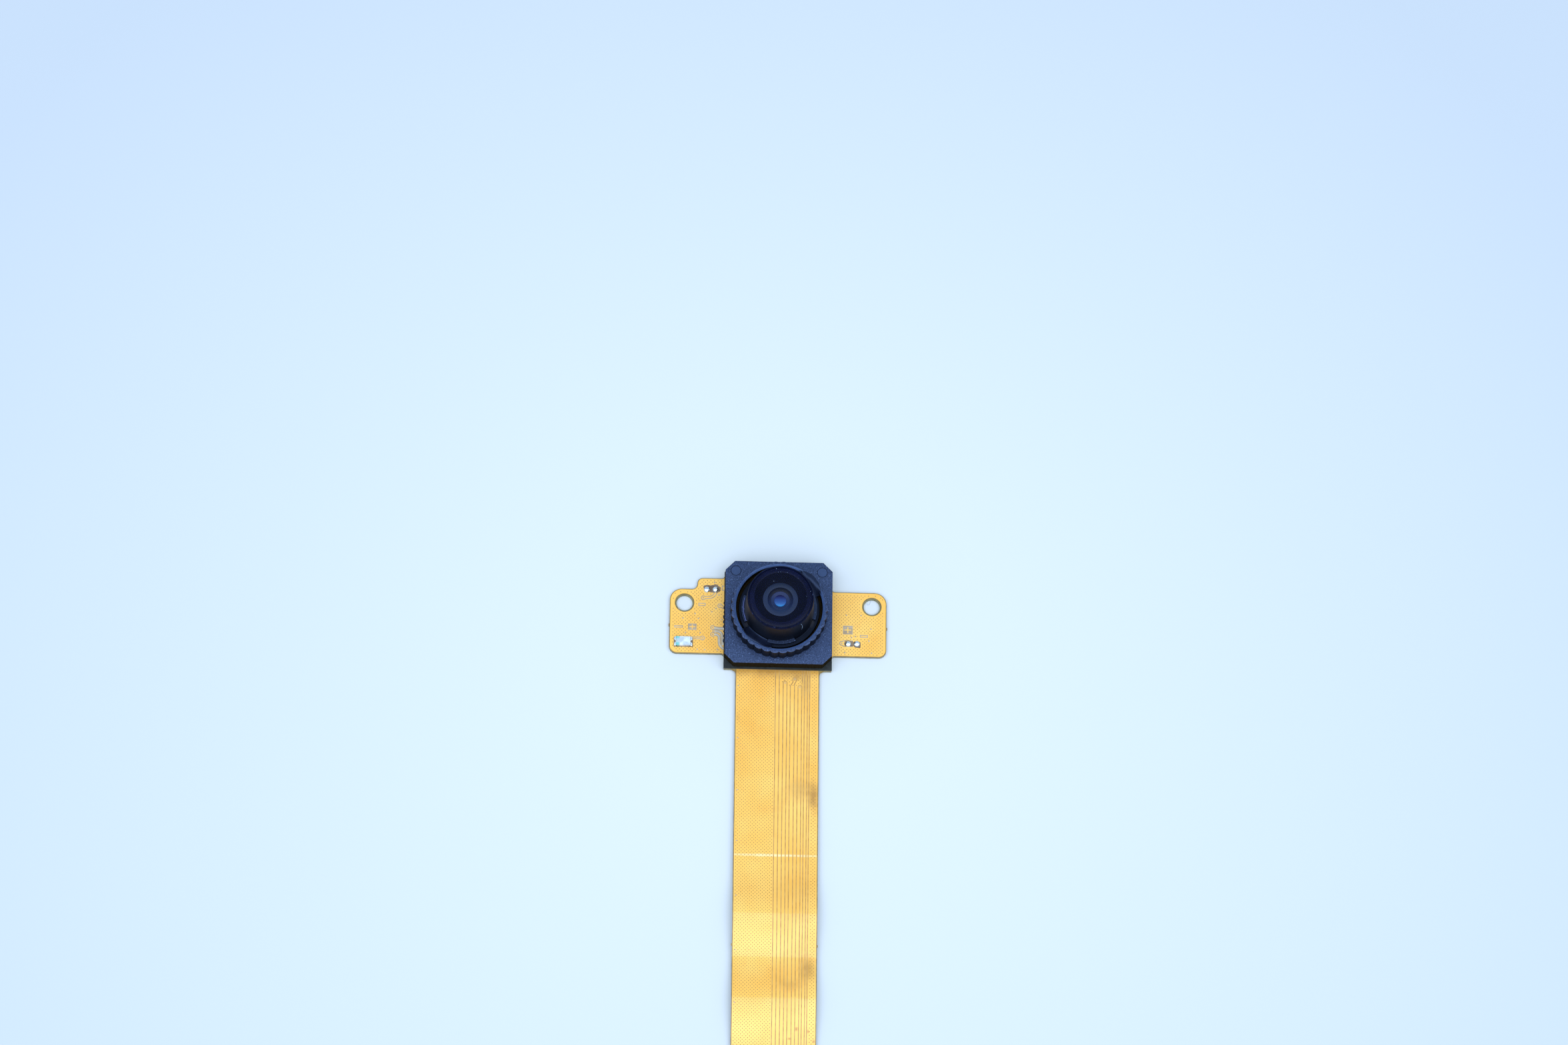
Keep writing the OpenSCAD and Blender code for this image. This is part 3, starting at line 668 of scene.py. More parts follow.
def tail_half(y):
    """Half width of the sheet at y, with a rounded neck under the head."""
    drop = PLATE_LOW.y - y
    if drop >= NECK_R:
        return TAIL_HALF
    return TAIL_HALF + NECK_R - math.sqrt(NECK_R**2 - (NECK_R - max(drop, 0)) ** 2)


def nub(side):
    """Small stub that the sheet was held by, on one side of the tail."""
    y, root, tip = TAIL_START - 42.7, side * (TAIL_HALF - 0.1), side * (TAIL_HALF + 0.12)
    top = copper_z(y) - COPPER_T - 0.01
    return filled([[(root, y - 0.3), (tip, y - 0.12), (tip, y + 0.12), (root, y + 0.3)]],
                  top - FLEX_T + 0.02, top, 0.02)


def build_flex():
    hole_r = min((p.xy - HOLES[1]).length for p in points_of("flex_circuit"))
    outlines = [HEAD_OUTLINE] + [arc(hole, hole_r) for hole in HOLES]
    head = filled(outlines, PLATE_HIGH.z, Z_HEAD, 0.012)
    tail = tail_sheet(tail_half, -COPPER_T - FLEX_T, -COPPER_T, PLATE_LOW.y + 0.01, TAIL_END, 0.02)
    piece("flex_film", [head, tail, nub(-1), nub(1)], film(), ["flex_circuit"])


def pour_outlines():
    """Copper area of each wing: its outline and the ring round its hole."""
    inner = grown([p for p in HEAD_OUTLINE if abs(p.x) <= HOLE_X + 2.201], -0.12)
    return [(cut_at(inner, side * (BOARD_HALF + 0.02), side), arc(hole, HOLE_R + 0.27))
            for side, hole in zip((-1, 1), HOLES)]


WINGS = pour_outlines()


def build_copper(copper):
    """Copper of the wings and the tail, with a brighter line along the wings' edges and holes."""
    rims, lift = [], 0.003
    for outer, hole in WINGS:
        edge, ring = grown(outer, -0.06), grown(hole, 0.07)
        rims.append(open_ribbon([p for p in edge if abs(p.x) > BOARD_HALF + 0.2], 0.12, lift))
        rims.append(ribbon(ring + ring[:1], 0.14, lift, True))
    piece("copper_rims", rims, gold("gold_at_the_rim", rgb(250, 184, 70), rgb(253, 192, 80)))
    wings = [filled(outlines, Z_HEAD - 0.01, Z_COPPER, 0.012) for outlines in WINGS]
    tail = tail_sheet(lambda y: TAIL_HALF - 0.13, -COPPER_T, 0, TAIL_START - 0.02, POUR_LOW.y, 0.012)
    piece("copper_pour", wings + [tail], copper, ["conductors"])


def clear_of_artwork(p):
    """True where nothing is in the way of the hatch: hole, mark, trace, dome or lamp."""
    if any((p - h).length < HOLE_R + 0.55 for h in HOLES):
        return False
    for path, width, via, bare in TRACES:
        if polyline_gap(p, [Vector(q) for q in path]) < width / 2 + GAP_W + 0.12:
            return False
        if (p - Vector(path[0])).length < VIA_R + GAP_W + 0.15:
            return False
    boxes = [(*box, 0.12) for box in BARS + CROSSES] + [(x, y, 0, 0, 0.62) for x, y in DOMES]
    boxes.append((*LAMP_AT, *LAMP_SIZE, 0.15))
    if any(in_box(p, *box) for box in boxes):
        return False
    return all((p - Vector(v)).length >= 0.2 for v in PLAIN_VIAS)


def hatched(p, lines, wings):
    """True where the copper carries the hatch of dots."""
    if p.y > TAIL_START:
        return abs(p.x) > BOARD_HALF and any(inside(p, w) for w in wings) and clear_of_artwork(p)
    if -POUR_HIGH.x - 0.1 < p.x < -0.5 or 5.05 < p.x < POUR_HIGH.x + 0.1:
        return True
    between = -10.9 < p.y < TAIL_START - 0.2 and 0.5 < p.x < 3.9
    return between and clear_of_artwork(p) and all(polyline_gap(p, line) > 0.16 for line in lines)


def build_hatch():
    """Staggered etched dots over the copper areas."""
    row, across, sides, r = 0.265, 0.53, 8, 0.075
    lines, wings = etched_lines(), [grown(outer, -0.22) for outer, hole in WINGS]
    verts, faces = [], []
    y, stagger = PLATE_HIGH.y, 0
    while y > POUR_LOW.y + 3:
        x = -HOLE_X - 3 + stagger
        while x < HOLE_X + 3:
            if hatched(Vector((x, y)), lines, wings):
                faces += [[len(verts) + i for i in face] for face in fan(sides)]
                verts.append((x, y, copper_z(y) + 0.014))
                rim = [(x + r * math.cos(t), y + r * math.sin(t)) for t in turns(sides)]
                verts += [(u, v, copper_z(v) + 0.002) for u, v in rim]
            x += across
        y -= row
        stagger = across / 2 - stagger
    dimple = etched("dimple", rgb(156, 104, 42), rgb(182, 128, 58))
    piece("hatch_dots", mesh_of(verts, faces), dimple, sharp=80)


def build_gaps():
    """Etched gaps of the tail, wider and darker as painted shade where they leave the board."""
    lines = [ribbon(line, 0.15, 0.004) for line in etched_lines()]
    # painted shade: the gaps near the board drawn wider
    lines += [ribbon([Vector((x, TAIL_START - 0.05)), Vector((x, y))], 0.17, 0.0052) for x, y in SHADED]
    bare = etched("etched_line", rgb(176, 124, 56), rgb(200, 150, 78))
    piece("etched_gaps", lines, bare)


def trace_meshes():
    """The etched surrounds of the wings' traces, their copper, their bare metal and their vias' pits."""
    gap_z, gap_disc_z, line_z, disc_z, pit_z = 0.003, 0.0065, 0.009, 0.0125, 0.016
    under, over, shiny, pits = [], [], [], []
    for i, (path, width, via, bare) in enumerate(TRACES):
        pts, lift = [Vector(p) for p in rounded(path, 0.4, 5)], i * 0.0004
        under.append(ribbon(pts, width + 2 * GAP_W, gap_z + lift))
        (shiny if bare else over).append(ribbon(pts, width, line_z + lift))
        x, y = path[0]
        r = VIA_R if via else width / 2
        under.append(disc(x, y, r + GAP_W, gap_disc_z + lift, 0.0, 32))
        over.append(disc(x, y, r, disc_z + lift, 0.0, 32))
        if via:
            pits.append(disc(x, y, 0.11, pit_z, 0.012))
    return under, over, shiny, pits


def plus(x, y, w, h):
    """Outline of a plus whose arms reach w and h from the middle."""
    c = 0.08
    corner = [(w, c), (c, c), (c, h)]
    arms = corner + [(-u, v) for u, v in reversed(corner)]
    return [Vector((x + u, y + v)) for u, v in arms + [(-u, -v) for u, v in arms]]


def build_artwork(copper):
    """Traces and vias of the wings and the tail, and the plus and minus marks."""
    under, over, shiny, pits = trace_meshes()
    under += [label(rectangle(*box), 0.004) for box in BARS + CROSSES]
    over += [label(rectangle(x, y, w - 2 * GAP_W, h - 2 * GAP_W), 0.009) for x, y, w, h in BARS]
    over += [label(plus(x, y, w * 0.34, h * 0.34), 0.009) for x, y, w, h in CROSSES]
    pits += [disc((x0 + x1) / 2, y - 0.02, 0.09, 0.012, 0.012) for x0, x1, y in ARCHES]
    pits.append(disc(*TURN_VIA, 0.11, 0.012, 0.012))
    pits += [disc(x, y, 0.12, 0.004, 0.02) for x, y in PLAIN_VIAS]
    pits += [disc(x, y, 0.1, 0.004, 0.02) for x, y in STITCHES]
    grey = etched("etched_grey", rgb(158, 134, 108), rgb(184, 162, 138))
    silver = etched("bare_trace", rgb(184, 168, 146), rgb(206, 194, 176))
    piece("etched_outlines", under, grey, ["polarity_marks"])
    piece("traces", over, copper, ["via_rings"])
    piece("bare_traces", shiny, silver)
    piece("via_pits", pits, grey)


def solder_dome(x, y):
    r, rise = 0.45, 0.25
    z = copper_z(y) + 0.04
    crown = [(r * math.cos(a), z + rise * math.sin(a)) for a in sweep(0, math.pi / 2, 8)]
    return lathe([(r + 0.03, z - 0.03)] + crown, 32, (x, y))


def build_solder(scorch_and_shadow, tin):
    """Solder domes on scorched, uneven ground; the ground's places are x, y, half sizes and seed."""
    ground = [(-9.5, 4.32, 0.86, 0.6, 2), (-10.75, 4.5, 0.52, 0.36, 5), (10.6, -3.86, 0.72, 0.48, 7),
              (11.85, -3.92, 0.5, 0.5, 9)]
    piece("solder_lands", [splash(*place) for place in ground], scorch_and_shadow, ["solder_pads"])
    piece("solder_domes", [solder_dome(*place) for place in DOMES], tin, ["solder_joints"], sharp=80)


def lamp_resin(left, y, width):
    """White resin, teal at its left end above and below the middle."""
    p = Paint("lamp_resin", Specular_IOR_Level=0.6, Coat_Weight=0.4, Coat_Roughness=0.1)
    tone = p.ramp(p.noise(900, 3), [(0.4, rgb(176, 188, 200)), (0.6, rgb(222, 228, 232))])
    near = p.value(p.axis("X"), 1, 0, (left + 0.62) * MM, (left + 0.9) * MM)
    apart = p.calc("ABSOLUTE", p.calc("SUBTRACT", p.axis("Y"), y * MM))
    flank = p.value(apart, 0.1, 1.0, width * 0.16 * MM, width * 0.3 * MM)
    tone = p.mix(p.calc("MULTIPLY", near, flank), tone, rgb(104, 186, 188))
    return p.finish(tone, p.value(p.noise(2000), 0.25, 0.45), 1500, 3, 0.03, 0.3)


def lamp_end(x, y, width, side):
    """Metal end of the lamp, with a round notch in its outer face at x."""
    low, high, root, r = y - width / 2, y + width / 2, x - side * 0.42, 0.24
    notch = [(x - side * r * math.sin(t), y - r * math.cos(t)) for t in sweep(0, math.pi, 10)]
    loop = [(root, low), (x, low)] + notch + [(x, high), (root, high)]
    return filled([loop], Z_COPPER, Z_COPPER + 0.34, 0.03)


def build_lamp(scorch_and_shadow, tin):
    """Indicator lamp: white body between two notched metal ends, on a painted shadow round its foot."""
    (x, y), (length, width), top = LAMP_AT, LAMP_SIZE, corners("led_body")[1].z
    # painted shadow under the lamp, a little larger than it and set a little towards the near side
    ground = rectangle(x + 0.02, y - 0.04, length + 0.16, width + 0.08)
    body = filled([rectangle(x, y, length - 0.5, width)], Z_COPPER, top - 0.14, 0.05)
    lens = filled([rectangle(x, y, length - 0.6, width - 0.06)], Z_COPPER + 0.3, top, 0.1)
    ends = [lamp_end(x + side * length / 2, y, width, side) for side in (-1, 1)]
    piece("lamp_painted_shadow", filled([ground], Z_COPPER - 0.01, Z_COPPER + 0.008, 0.004), scorch_and_shadow)
    resin = lamp_resin(x - length / 2, y, width)
    piece("lamp_body", [body, lens], resin, ["led_body"])
    piece("lamp_ends", ends, tin, ["led_terminals"])


# ---- holder
COLLAR_R = 6.98  # to the valleys between the ribs
RIB_H = 0.24
RIBS = 34
CHAMFER = 1.4
MOUTH_R = 6.79
BORE_R = 6.45


def square_r(t, half, chamfer):
    """Distance from the axis to a chamfered square at angle t."""
    c, s = abs(math.cos(t)), abs(math.sin(t))
    return min(half / max(c, s), (2 * half - chamfer) / (c + s))


def collar_r(t):
    """Distance from the axis to the ribbed collar at angle t; a valley lies on the Y axis."""
    phase = ((t - math.pi / 2) * RIBS / (2 * math.pi)) % 1.0
    return COLLAR_R + RIB_H * (math.sin(math.pi * phase) ** 0.75 if 0 < phase < 1 else 0)


def holder_angles():
    """Angles of the holder's outlines, with one at each corner of its chamfers."""
    edge = math.atan2(BASE_HALF - CHAMFER, BASE_HALF)
    corner_angles = [q * math.pi / 2 + t for q in range(4) for t in (edge, math.pi / 2 - edge)]
    return sorted({round(t, 6) for t in turns(RIBS * 20) + corner_angles})


def build_holder():
    """Square base, collar of ribs and bore of the holder, each face with its own grain and roughness from the mould
    and its colour painted for light: a bluish painted sheen and painted glints on the tops, a painted highlight on
    the bevel, and darker painted shade on the collar's outer face, the base's sides and the bore.
    """
    angles = holder_angles()

    def loop(r_of, z):
        return [(r_of(t) * math.cos(t), r_of(t) * math.sin(t), z) for t in angles]

    def base(inset, z):
        return loop(lambda t: square_r(t, BASE_HALF - inset, CHAMFER - inset * 0.6), z)

    def collar(grow, z):
        return loop(lambda t: collar_r(t) + grow, z)

    # tops and crown: the mould's grain, with a bluish painted sheen for the sky's reflection and painted glints
    grain_and_sheen = plastic("top_grain_and_sheen", rgb(12, 17, 32), rgb(48, 60, 92), 0.45, 5200, 0.03, rgb(104, 124, 168), 0.9)
    # bevel: smooth, its lighter colour a painted highlight
    polish_and_highlight = plastic("bevel_polish_and_highlight", rgb(56, 74, 114), rgb(64, 84, 128), 0.34, 900, 0.004, specular=0.8)
    # base's sides and the bore: dark painted shade, warm as a painted reflection of the gold below
    side_shade = plastic("holder_side_shade", rgb(30, 25, 16), rgb(44, 36, 24), 0.6, 3000, 0.01, specular=0.0)
    # collar's outer face: darker painted shade
    ribbed = plastic("collar_wall_shade", rgb(14, 16, 24), rgb(22, 25, 36), 0.5, 3000, 0.01, specular=0.06)
    soft = 0.09
    sides = [base(1.5, Z_BOARD), base(0.03, Z_BOARD), base(0.0, Z_BOARD + 0.04), base(0.0, Z_BASE - soft)]
    top = [base(soft * (1 - math.cos(a)), Z_BASE - soft * (1 - math.sin(a))) for a in (0, 0.4, 0.8, 1.2, 1.57)]
    foot = [collar(0.03, Z_BASE), collar(0.0, Z_BASE + 0.03)]
    wall = [foot[-1], collar(0.0, Z_COLLAR - 0.06)]
    crown = [wall[-1], collar(-0.012, Z_COLLAR - 0.02), collar(-0.05, Z_COLLAR), loop(lambda t: MOUTH_R, Z_COLLAR)]
    piece("holder_sides", loft(sides), side_shade, ["lens_holder"], sharp=34)
    piece("holder_top", loft(top + foot), grain_and_sheen, sharp=34)
    piece("collar_wall", loft(wall), ribbed, sharp=50)
    piece("collar_crown", loft(crown), grain_and_sheen, sharp=34)
    bevel = [(MOUTH_R, Z_COLLAR), (MOUTH_R - 0.02, Z_COLLAR - 0.004), (BORE_R + 0.02, Z_COLLAR - 0.15),
             (BORE_R, Z_COLLAR - 0.2)]
    piece("collar_bevel", lathe(bevel, 240), polish_and_highlight, sharp=34)
    bore = [bevel[-1], (BORE_R, Z_SHOULDER - 0.6), (6.03, Z_SHOULDER - 0.7), (6.03, Z_BOARD + 1.3)]
    piece("collar_bore", lathe(bore, 240), side_shade, sharp=34)


def build_ejector_marks():
    """Round shallow marks in the base's two far corners."""
    mark = [(0.7, Z_BASE - 0.02), (0.68, Z_BASE + 0.004), (0, Z_BASE + 0.004)]
    ring = [(0.8, Z_BASE - 0.01), (0.78, Z_BASE + 0.006), (0.71, Z_BASE + 0.006), (0.69, Z_BASE - 0.01)]
    at = BASE_HALF - 1.55
    marks, rings = ([lathe(shape, 64, (side * at, at)) for side in (-1, 1)] for shape in (mark, ring))
    smooth = plastic("ejector_mark", rgb(34, 46, 74), rgb(40, 54, 84), 0.35, 1200, 0.006)
    dark = plastic("ejector_rim", rgb(10, 14, 26), rgb(14, 20, 36), 0.5, 1200, 0.006, specular=0.3)
    piece("ejector_marks", marks, smooth)
    piece("ejector_rims", rings, dark)


# ---- lens
def snout_black():
    """Satin black of the lens barrel, warmer and paler low on its two flanks as a painted reflection of the gold
    wings.
    """
    p = Paint("barrel_satin", Specular_IOR_Level=0.18, Specular_Tint=SKY)
    black = p.ramp(p.noise(1400, 2), [(0.38, rgb(8, 10, 16)), (0.62, rgb(12, 14, 22))])
    # painted reflection of the gold wings, warm and pale, low on each flank
    for side in (-1, 1):
        black = p.mix(p.spot(side * 4.9, -0.6, 0.6, 2.4, 0.8), black, rgb(64, 60, 60))
    return p.finish(black, p.value(p.noise(900), 0.36, 0.48), 1400, 3, 0.008, 0.4)


SNOUT_FOOT, SNOUT_TOP, SHOULDER_R, CREST_R, GROOVE_R = 5.2, 4.9, 6.02, 5.98, 5.78


def barrel_profile():
    """Thread grooves below the shoulder, then the shoulder and the tapered snout."""
    pitch, z, threads = 0.5, BARREL_LOW.z, []
    while z < Z_SHOULDER - 0.9:
        threads += [(CREST_R, z), (CREST_R, z + 0.12), (GROOVE_R, z + 0.25), (GROOVE_R, z + 0.37)]
        z += pitch
    return threads + rounded([
        (CREST_R, Z_SHOULDER - 0.8), (SHOULDER_R, Z_SHOULDER - 0.75), (SHOULDER_R, Z_SHOULDER),
        (SNOUT_FOOT + 0.05, Z_SHOULDER), (SNOUT_FOOT, Z_SHOULDER + 0.2), (SNOUT_TOP + 0.06, Z_RIM - 0.45)], 0.07)


def build_barrel():
    """Lens barrel with its inked rim and the four wrench tabs, one of them with a painted reflection along its inner
    top edge.
    """
    piece("barrel", lathe(barrel_profile(), 200), snout_black(), ["lens_barrel"], sharp=50)
    rim = rounded([(SNOUT_TOP + 0.06, Z_RIM - 0.45), (SNOUT_TOP + 0.01, Z_RIM - 0.1), (SNOUT_TOP - 0.12, Z_RIM),
                   (4.7, Z_RIM - 0.02), (4.66, Z_RIM - 0.3)], 0.07)
    # painted glints on the rim's grain
    inked = plastic("snout_rim", rgb(7, 10, 26), rgb(14, 19, 44), 0.45, 2400, 0.01, rgb(52, 60, 92), specular=0.05)
    piece("barrel_rim", lathe(rim, 200), inked, sharp=50)
    tabs = []
    for centre in (4, 94, 182, 274):
        outline = band(5.65, 4.9, centre - 22, centre + 22, 24)
        tabs.append(filled([outline], Z_SHOULDER - 0.05, Z_SHOULDER + 0.6, 0.05))
    # painted glints on the tabs' grain
    satin = plastic("tab_satin", rgb(14, 19, 32), rgb(24, 31, 50), 0.42, 4200, 0.015, rgb(90, 104, 150), 0.6)
    piece("wrench_tabs", tabs, satin, sharp=50)
    # painted reflection: a thin bright strip along the left tab's inner top edge
    streak = filled([band(5.33, 5.39, 164, 204, 20)], Z_SHOULDER + 0.58, Z_SHOULDER + 0.605, 0.004)
    piece("tab_reflection_strip", streak, plastic("tab_painted_reflection", rgb(84, 88, 150), rgb(112, 116, 184), 0.3, 2500, 0.004))


GLASS_EDGE = Z_RIM - 0.2
WELL = Z_BASE + 5.9  # height of the lens seat under the front glass


def dome_z(r):
    """Height of the front glass at a distance from the axis."""
    sag = GLASS_HIGH.z - GLASS_EDGE
    ball = (GLASS_HIGH.x**2 + sag * sag) / (2 * sag)
    return GLASS_HIGH.z - ball + math.sqrt(ball * ball - r * r)


def build_front_glass():
    """Domed front glass and the black edge and baffle right under it."""
    half = GLASS_HIGH.x
    dome = [(half, GLASS_EDGE - 0.15)] + [(r, dome_z(r)) for r in sweep(half, 0, 24)]
    clear = glass("front_glass", rgb(5, 8, 34), 0.34, 0.3, 0.03)
    piece("front_glass", lathe(dome, 200), clear, ["front_element"], sharp=60)
    edge = [(half - 0.02, GLASS_EDGE - 0.02), (3.95, GLASS_EDGE + 0.12), (3.9, GLASS_EDGE + 0.1)]
    faint = (900, 3, 0.01, 0.2)
    inked = plain("glass_edge", rgb(9, 14, 40), rgb(14, 21, 56), 400, (0.15, 0.3), (900,), faint,
                  Specular_IOR_Level=0.2)
    piece("glass_edge", lathe(edge), inked)
    cone = [edge[1], (3.2, WELL + 0.35), (2.6, WELL + 0.02)]
    black = plain("baffle_black", rgb(11, 15, 24), rgb(15, 20, 34), 300, (0.5, 0.7), (900,), faint,
                  Specular_IOR_Level=0.1)
    piece("baffle", lathe(cone), black, ["front_spacer"])


def build_lens_well():
    """Grey ring, iris and blue pupil, nested under the front glass, each with light and shade painted across it; the
    pupil's bright blue is a painted reflection that gives off a little light.
    """
    # painted light and shade: each face's tones run from side to side
    ring = shaded("lens_seat", [(0, 48, 64, 98), (0.5, 47, 62, 96), (0.8, 44, 58, 86), (1, 34, 48, 74)], 2.6, 0.4)
    wall = shaded("seat_wall", [(0, 60, 80, 118), (0.3, 40, 54, 92), (0.62, 26, 36, 62), (0.8, 14, 20, 34)],
                  1.9, 0.35)
    iris = shaded("iris", [(0, 44, 60, 98), (0.5, 50, 68, 112), (1, 58, 70, 118)], 1.4, 0.4)
    # pupil: bright blue painted reflection of the lens coating, giving off a little light
    pupil = shaded("pupil", [(0, 30, 150, 232), (0.25, 28, 96, 178), (0.55, 48, 78, 150), (0.85, 24, 30, 92),
                             (1, 16, 22, 66)], 0.9, 0.15, 0.5, 0.25)
    seat_shape = [(2.62, WELL), (2.5, WELL + 0.05), (1.98, WELL - 0.02), (1.9, WELL - 0.05)]
    wall_shape = [seat_shape[-1], (1.75, WELL - 0.25), (1.4, WELL - 0.42)]
    iris_shape = [wall_shape[-1], (1.34, WELL - 0.38), (1.26, WELL - 0.42), (0.9, WELL - 0.6)]
    bulge = [(0.9 * math.cos(a), WELL - 0.6 + 0.16 * math.sin(a)) for a in sweep(0, math.pi / 2, 10)]
    piece("lens_seat", lathe(seat_shape, 128), ring, ["second_element"])
    piece("seat_wall", lathe(wall_shape, 128), wall)
    piece("iris", lathe(iris_shape, 128), iris, ["aperture_stop"])
    piece("pupil", lathe(bulge, 96), pupil, ["third_element"])


def build_dust():
    """Specks on the front glass, a hair on the snout and a fibre in the right mounting hole."""
    dusty = dict(scale=4000, rough=(0.6, 0.9), rough_noise=(900,), Specular_IOR_Level=0.2)
    pale = plain("dust", rgb(70, 88, 122), rgb(150, 172, 200), **dusty)
    grey = plain("fibre", rgb(140, 156, 196), rgb(166, 184, 222), **dusty)
    places = [(-0.06, 3.94, 0.045), (0.93, 3.86, 0.04), (2.52, 3.01, 0.03), (-1.08, 2.33, 0.04), (-0.68, 4.48, 0.06),
              (4.42, 1.07, 0.04), (3.84, 0.2, 0.035), (-0.4, 3.9, 0.03)]
    specks = [blob(x, y, dome_z(math.hypot(x, y)) - 0.005, r, r, r * 0.6, i, 8, 3)
              for i, (x, y, r) in enumerate(places)]
    hair = [(2.3, -4.25, 9.0), (2.56, -4.05, 9.3), (3.0, -3.85, 9.3), (3.25, -3.95, 8.9), (3.35, -4.05, 8.2),
            (3.25, -4.2, 7.6)]
    fibre = [(13.35, 2.75, 0.03), (13.3, 2.4, 0.03), (13.6, 2.45, 0.04), (13.75, 2.8, 0.05), (13.9, 3.1, 0.1),
             (13.95, 3.25, 0.2)]
    piece("dust_specks", specks, pale, sharp=80)
    piece("hair", thread(hair, 0.022), pale, sharp=80)
    piece("fibre", thread(fibre, 0.013), grey, sharp=80)


def glue_dab(start, end, seed, reach):
    """Dab that lies on the shoulder and the collar's rim between two angles, fullest half way."""
    loops = []
    for t in sweep(0, 1, 32):
        a = math.radians(start + (end - start) * t)
        swell = math.sin(math.pi * t) ** 0.8
        thin = 1 - swell
        wob = noise.noise(Vector((seed, t * 4, 0))) * 0.16
        outer = 6.5 + (reach + wob) * swell
        top = Z_COLLAR + (0.12 + wob * 0.2) * swell
        section = [(5.3, Z_SHOULDER + 0.02), (6.4, Z_SHOULDER + 0.02), (6.43, Z_COLLAR - 0.3), (6.6, Z_COLLAR - 0.1),
                   (outer, Z_COLLAR + 0.005), (outer - 0.06, Z_COLLAR + 0.06 * swell),
                   (6.5, top * swell + (Z_COLLAR - 0.2) * thin), (6.1, top - 0.15 - 0.3 * thin),
                   (5.5, Z_COLLAR - 0.35 + 0.1 * wob - 0.5 * thin), (5.25, Z_COLLAR - 0.3 - 0.5 * thin)]
        loops.append([(r * math.cos(a), r * math.sin(a), z) for r, z in section])
    return loft(loops, True)


def build_glue(wet):
    """Two thread-lock dabs."""
    dabs = [glue_dab(20, 64, 3, 0.62), glue_dab(212, 260, 8, 0.2)]
    piece("lens_glue_dabs", dabs, wet, ["lens_glue"], sharp=70)


def build_foot_adhesive(wet):
    """Row of uneven drops squeezed out along the board's left edge."""
    low, high = corners("foot_adhesive")
    count, drops = 9, []
    random.seed(4)
    for i in range(count):
        y = high.y - (high.y - low.y) * (i + 0.3) / count
        r = 0.07 + 0.1 * random.random()
        drops.append(blob(-BOARD_HALF - 0.02, y, Z_COPPER, r, r * 1.8, 0.2 + 0.2 * random.random(), i))
    piece("foot_drops", drops, wet, ["foot_adhesive"], sharp=80)


# ---- stage
def build_floor():
    """Pale floor, painted a little darker far from the part for the light's falloff."""
    p = Paint("floor", Specular_IOR_Level=0.0)
    away = p.vector("LENGTH", p.place)["Value"]
    # painted falloff of the light: darker with distance from the part
    p.set("Base Color", p.mix(p.value(away, 0, 1, 0.03, 0.14), (0.63, 0.645, 0.68, 1), (0.53, 0.56, 0.63, 1)))
    p.set("Roughness", p.value(p.noise(20), 0.9, 1.0))
    bpy.ops.mesh.primitive_plane_add(size=6, location=(0, 0, 0))
    floor = bpy.context.object
    floor.name = "floor"
    floor.data.materials.append(p.mat)


def build_light():
    """Pale bluish world and one wide softbox in front of the part."""
    world = bpy.data.worlds.new("studio")
    bpy.context.scene.world = world
    world.use_nodes = True
    back = world.node_tree.nodes["Background"]
    back.inputs["Color"].default_value = (0.62, 0.82, 1.0, 1)
    back.inputs["Strength"].default_value = 0.8
    light = bpy.data.lights.new("softbox", "AREA")
    light.shape, light.size, light.size_y = "RECTANGLE", 1.6, 0.72
    light.energy, light.color = 7.8, (0.82, 0.92, 1.0)
    at, aim = Vector((0, -0.20, 0.62)), Vector((0, -0.02, 0))
    obj = put("softbox", light)
    obj.location = at
    obj.rotation_euler = (aim - at).to_track_quat("-Z", "Y").to_euler()


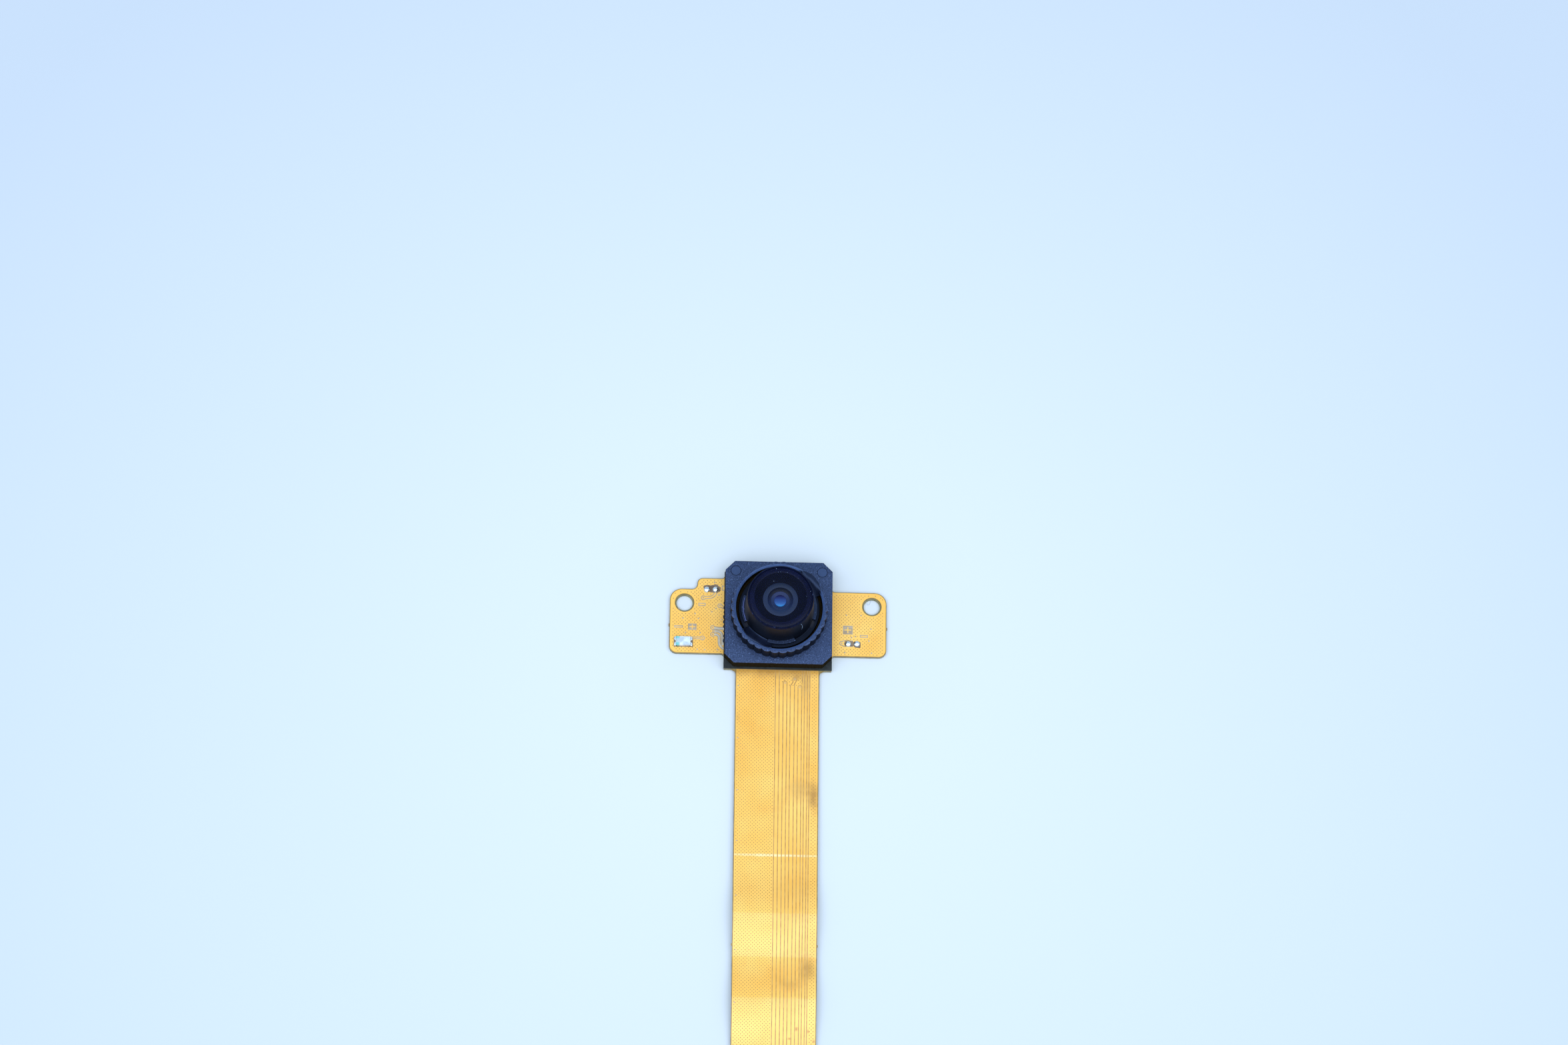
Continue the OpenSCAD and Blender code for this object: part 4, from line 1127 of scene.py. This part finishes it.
def build_camera():
    """Long lens that looks down on the head, turned a little as the photo's is."""
    azimuth, elevation, roll = (math.radians(a) for a in (6.203, 70.109, 7.237))
    away = Vector((math.sin(azimuth), math.cos(azimuth), -math.tan(elevation))).normalized()
    right = Vector((math.cos(azimuth), -math.sin(azimuth), 0))
    level = Matrix((right, right.cross(away), -away)).transposed().to_4x4()
    aim, distance = Vector((0.000723, 0.015097, Z_HEAD * MM)), 0.965
    camera = bpy.data.cameras.new("camera")
    camera.lens, camera.sensor_width, camera.clip_start = 147.6, 36, 0.01
    obj = put("camera", camera)
    obj.matrix_world = Matrix.Translation(aim - away * distance) @ level @ Matrix.Rotation(roll, 4, "Z")
    bpy.context.scene.camera = obj


def dress(node, material):
    mesh = NODES[node].data
    mesh.materials.clear()
    mesh.materials.append(material)


def dress_cad_nodes(tin):
    """Materials of the CAD nodes that stay as they are, most of them out of view."""
    dress("head_stiffener", laminate("stiffener", rgb(112, 104, 76), rgb(140, 132, 98)))
    dress("contact_stiffener", laminate("end_stiffener", rgb(176, 120, 48), rgb(196, 140, 62)))
    dress("sensor_board", laminate("board", rgb(20, 24, 26), rgb(36, 40, 42), rgb(112, 122, 112)))
    dress("chip_capacitors", laminate("ceramic", rgb(120, 92, 62), rgb(146, 116, 84)))
    dress("contact_fingers", metal("gold_plate", rgb(226, 178, 86), rgb(246, 206, 120), 0.22))
    dress("sensor_balls", tin)
    dress("ir_filter", glass("filter", rgb(190, 120, 150), 0.5))
    black = plastic("inner_black", rgb(14, 16, 20), rgb(24, 27, 33), 0.5, 900, 0.01)
    lens = glass("inner_glass", rgb(120, 150, 190), 0.4)
    dress("rear_spacer", black)
    dress("sensor_package", black)
    dress("rear_element", lens)
    dress("sensor_cover_glass", lens)


def build():
    copper = gold()
    # scorched ground round the solder domes, and the painted shadow under the lamp
    scorch_and_shadow = etched("scorch_and_shadow", rgb(84, 60, 40), rgb(140, 114, 90))
    tin = metal("tin", rgb(214, 220, 230), rgb(244, 248, 252), 0.24)
    wet = plastic("adhesive", rgb(14, 18, 32), rgb(20, 26, 46), 0.3, 500, 0.03, specular=0.6)
    build_flex()
    build_copper(copper)
    build_hatch()
    build_gaps()
    build_artwork(copper)
    build_solder(scorch_and_shadow, tin)
    build_lamp(scorch_and_shadow, tin)
    build_holder()
    build_ejector_marks()
    build_barrel()
    build_front_glass()
    build_lens_well()
    build_glue(wet)
    build_dust()
    build_foot_adhesive(wet)
    dress_cad_nodes(tin)
    build_floor()
    build_light()
    build_camera()
    bpy.context.scene.view_settings.view_transform = "Standard"


build()
bpy.context.view_layer.update()
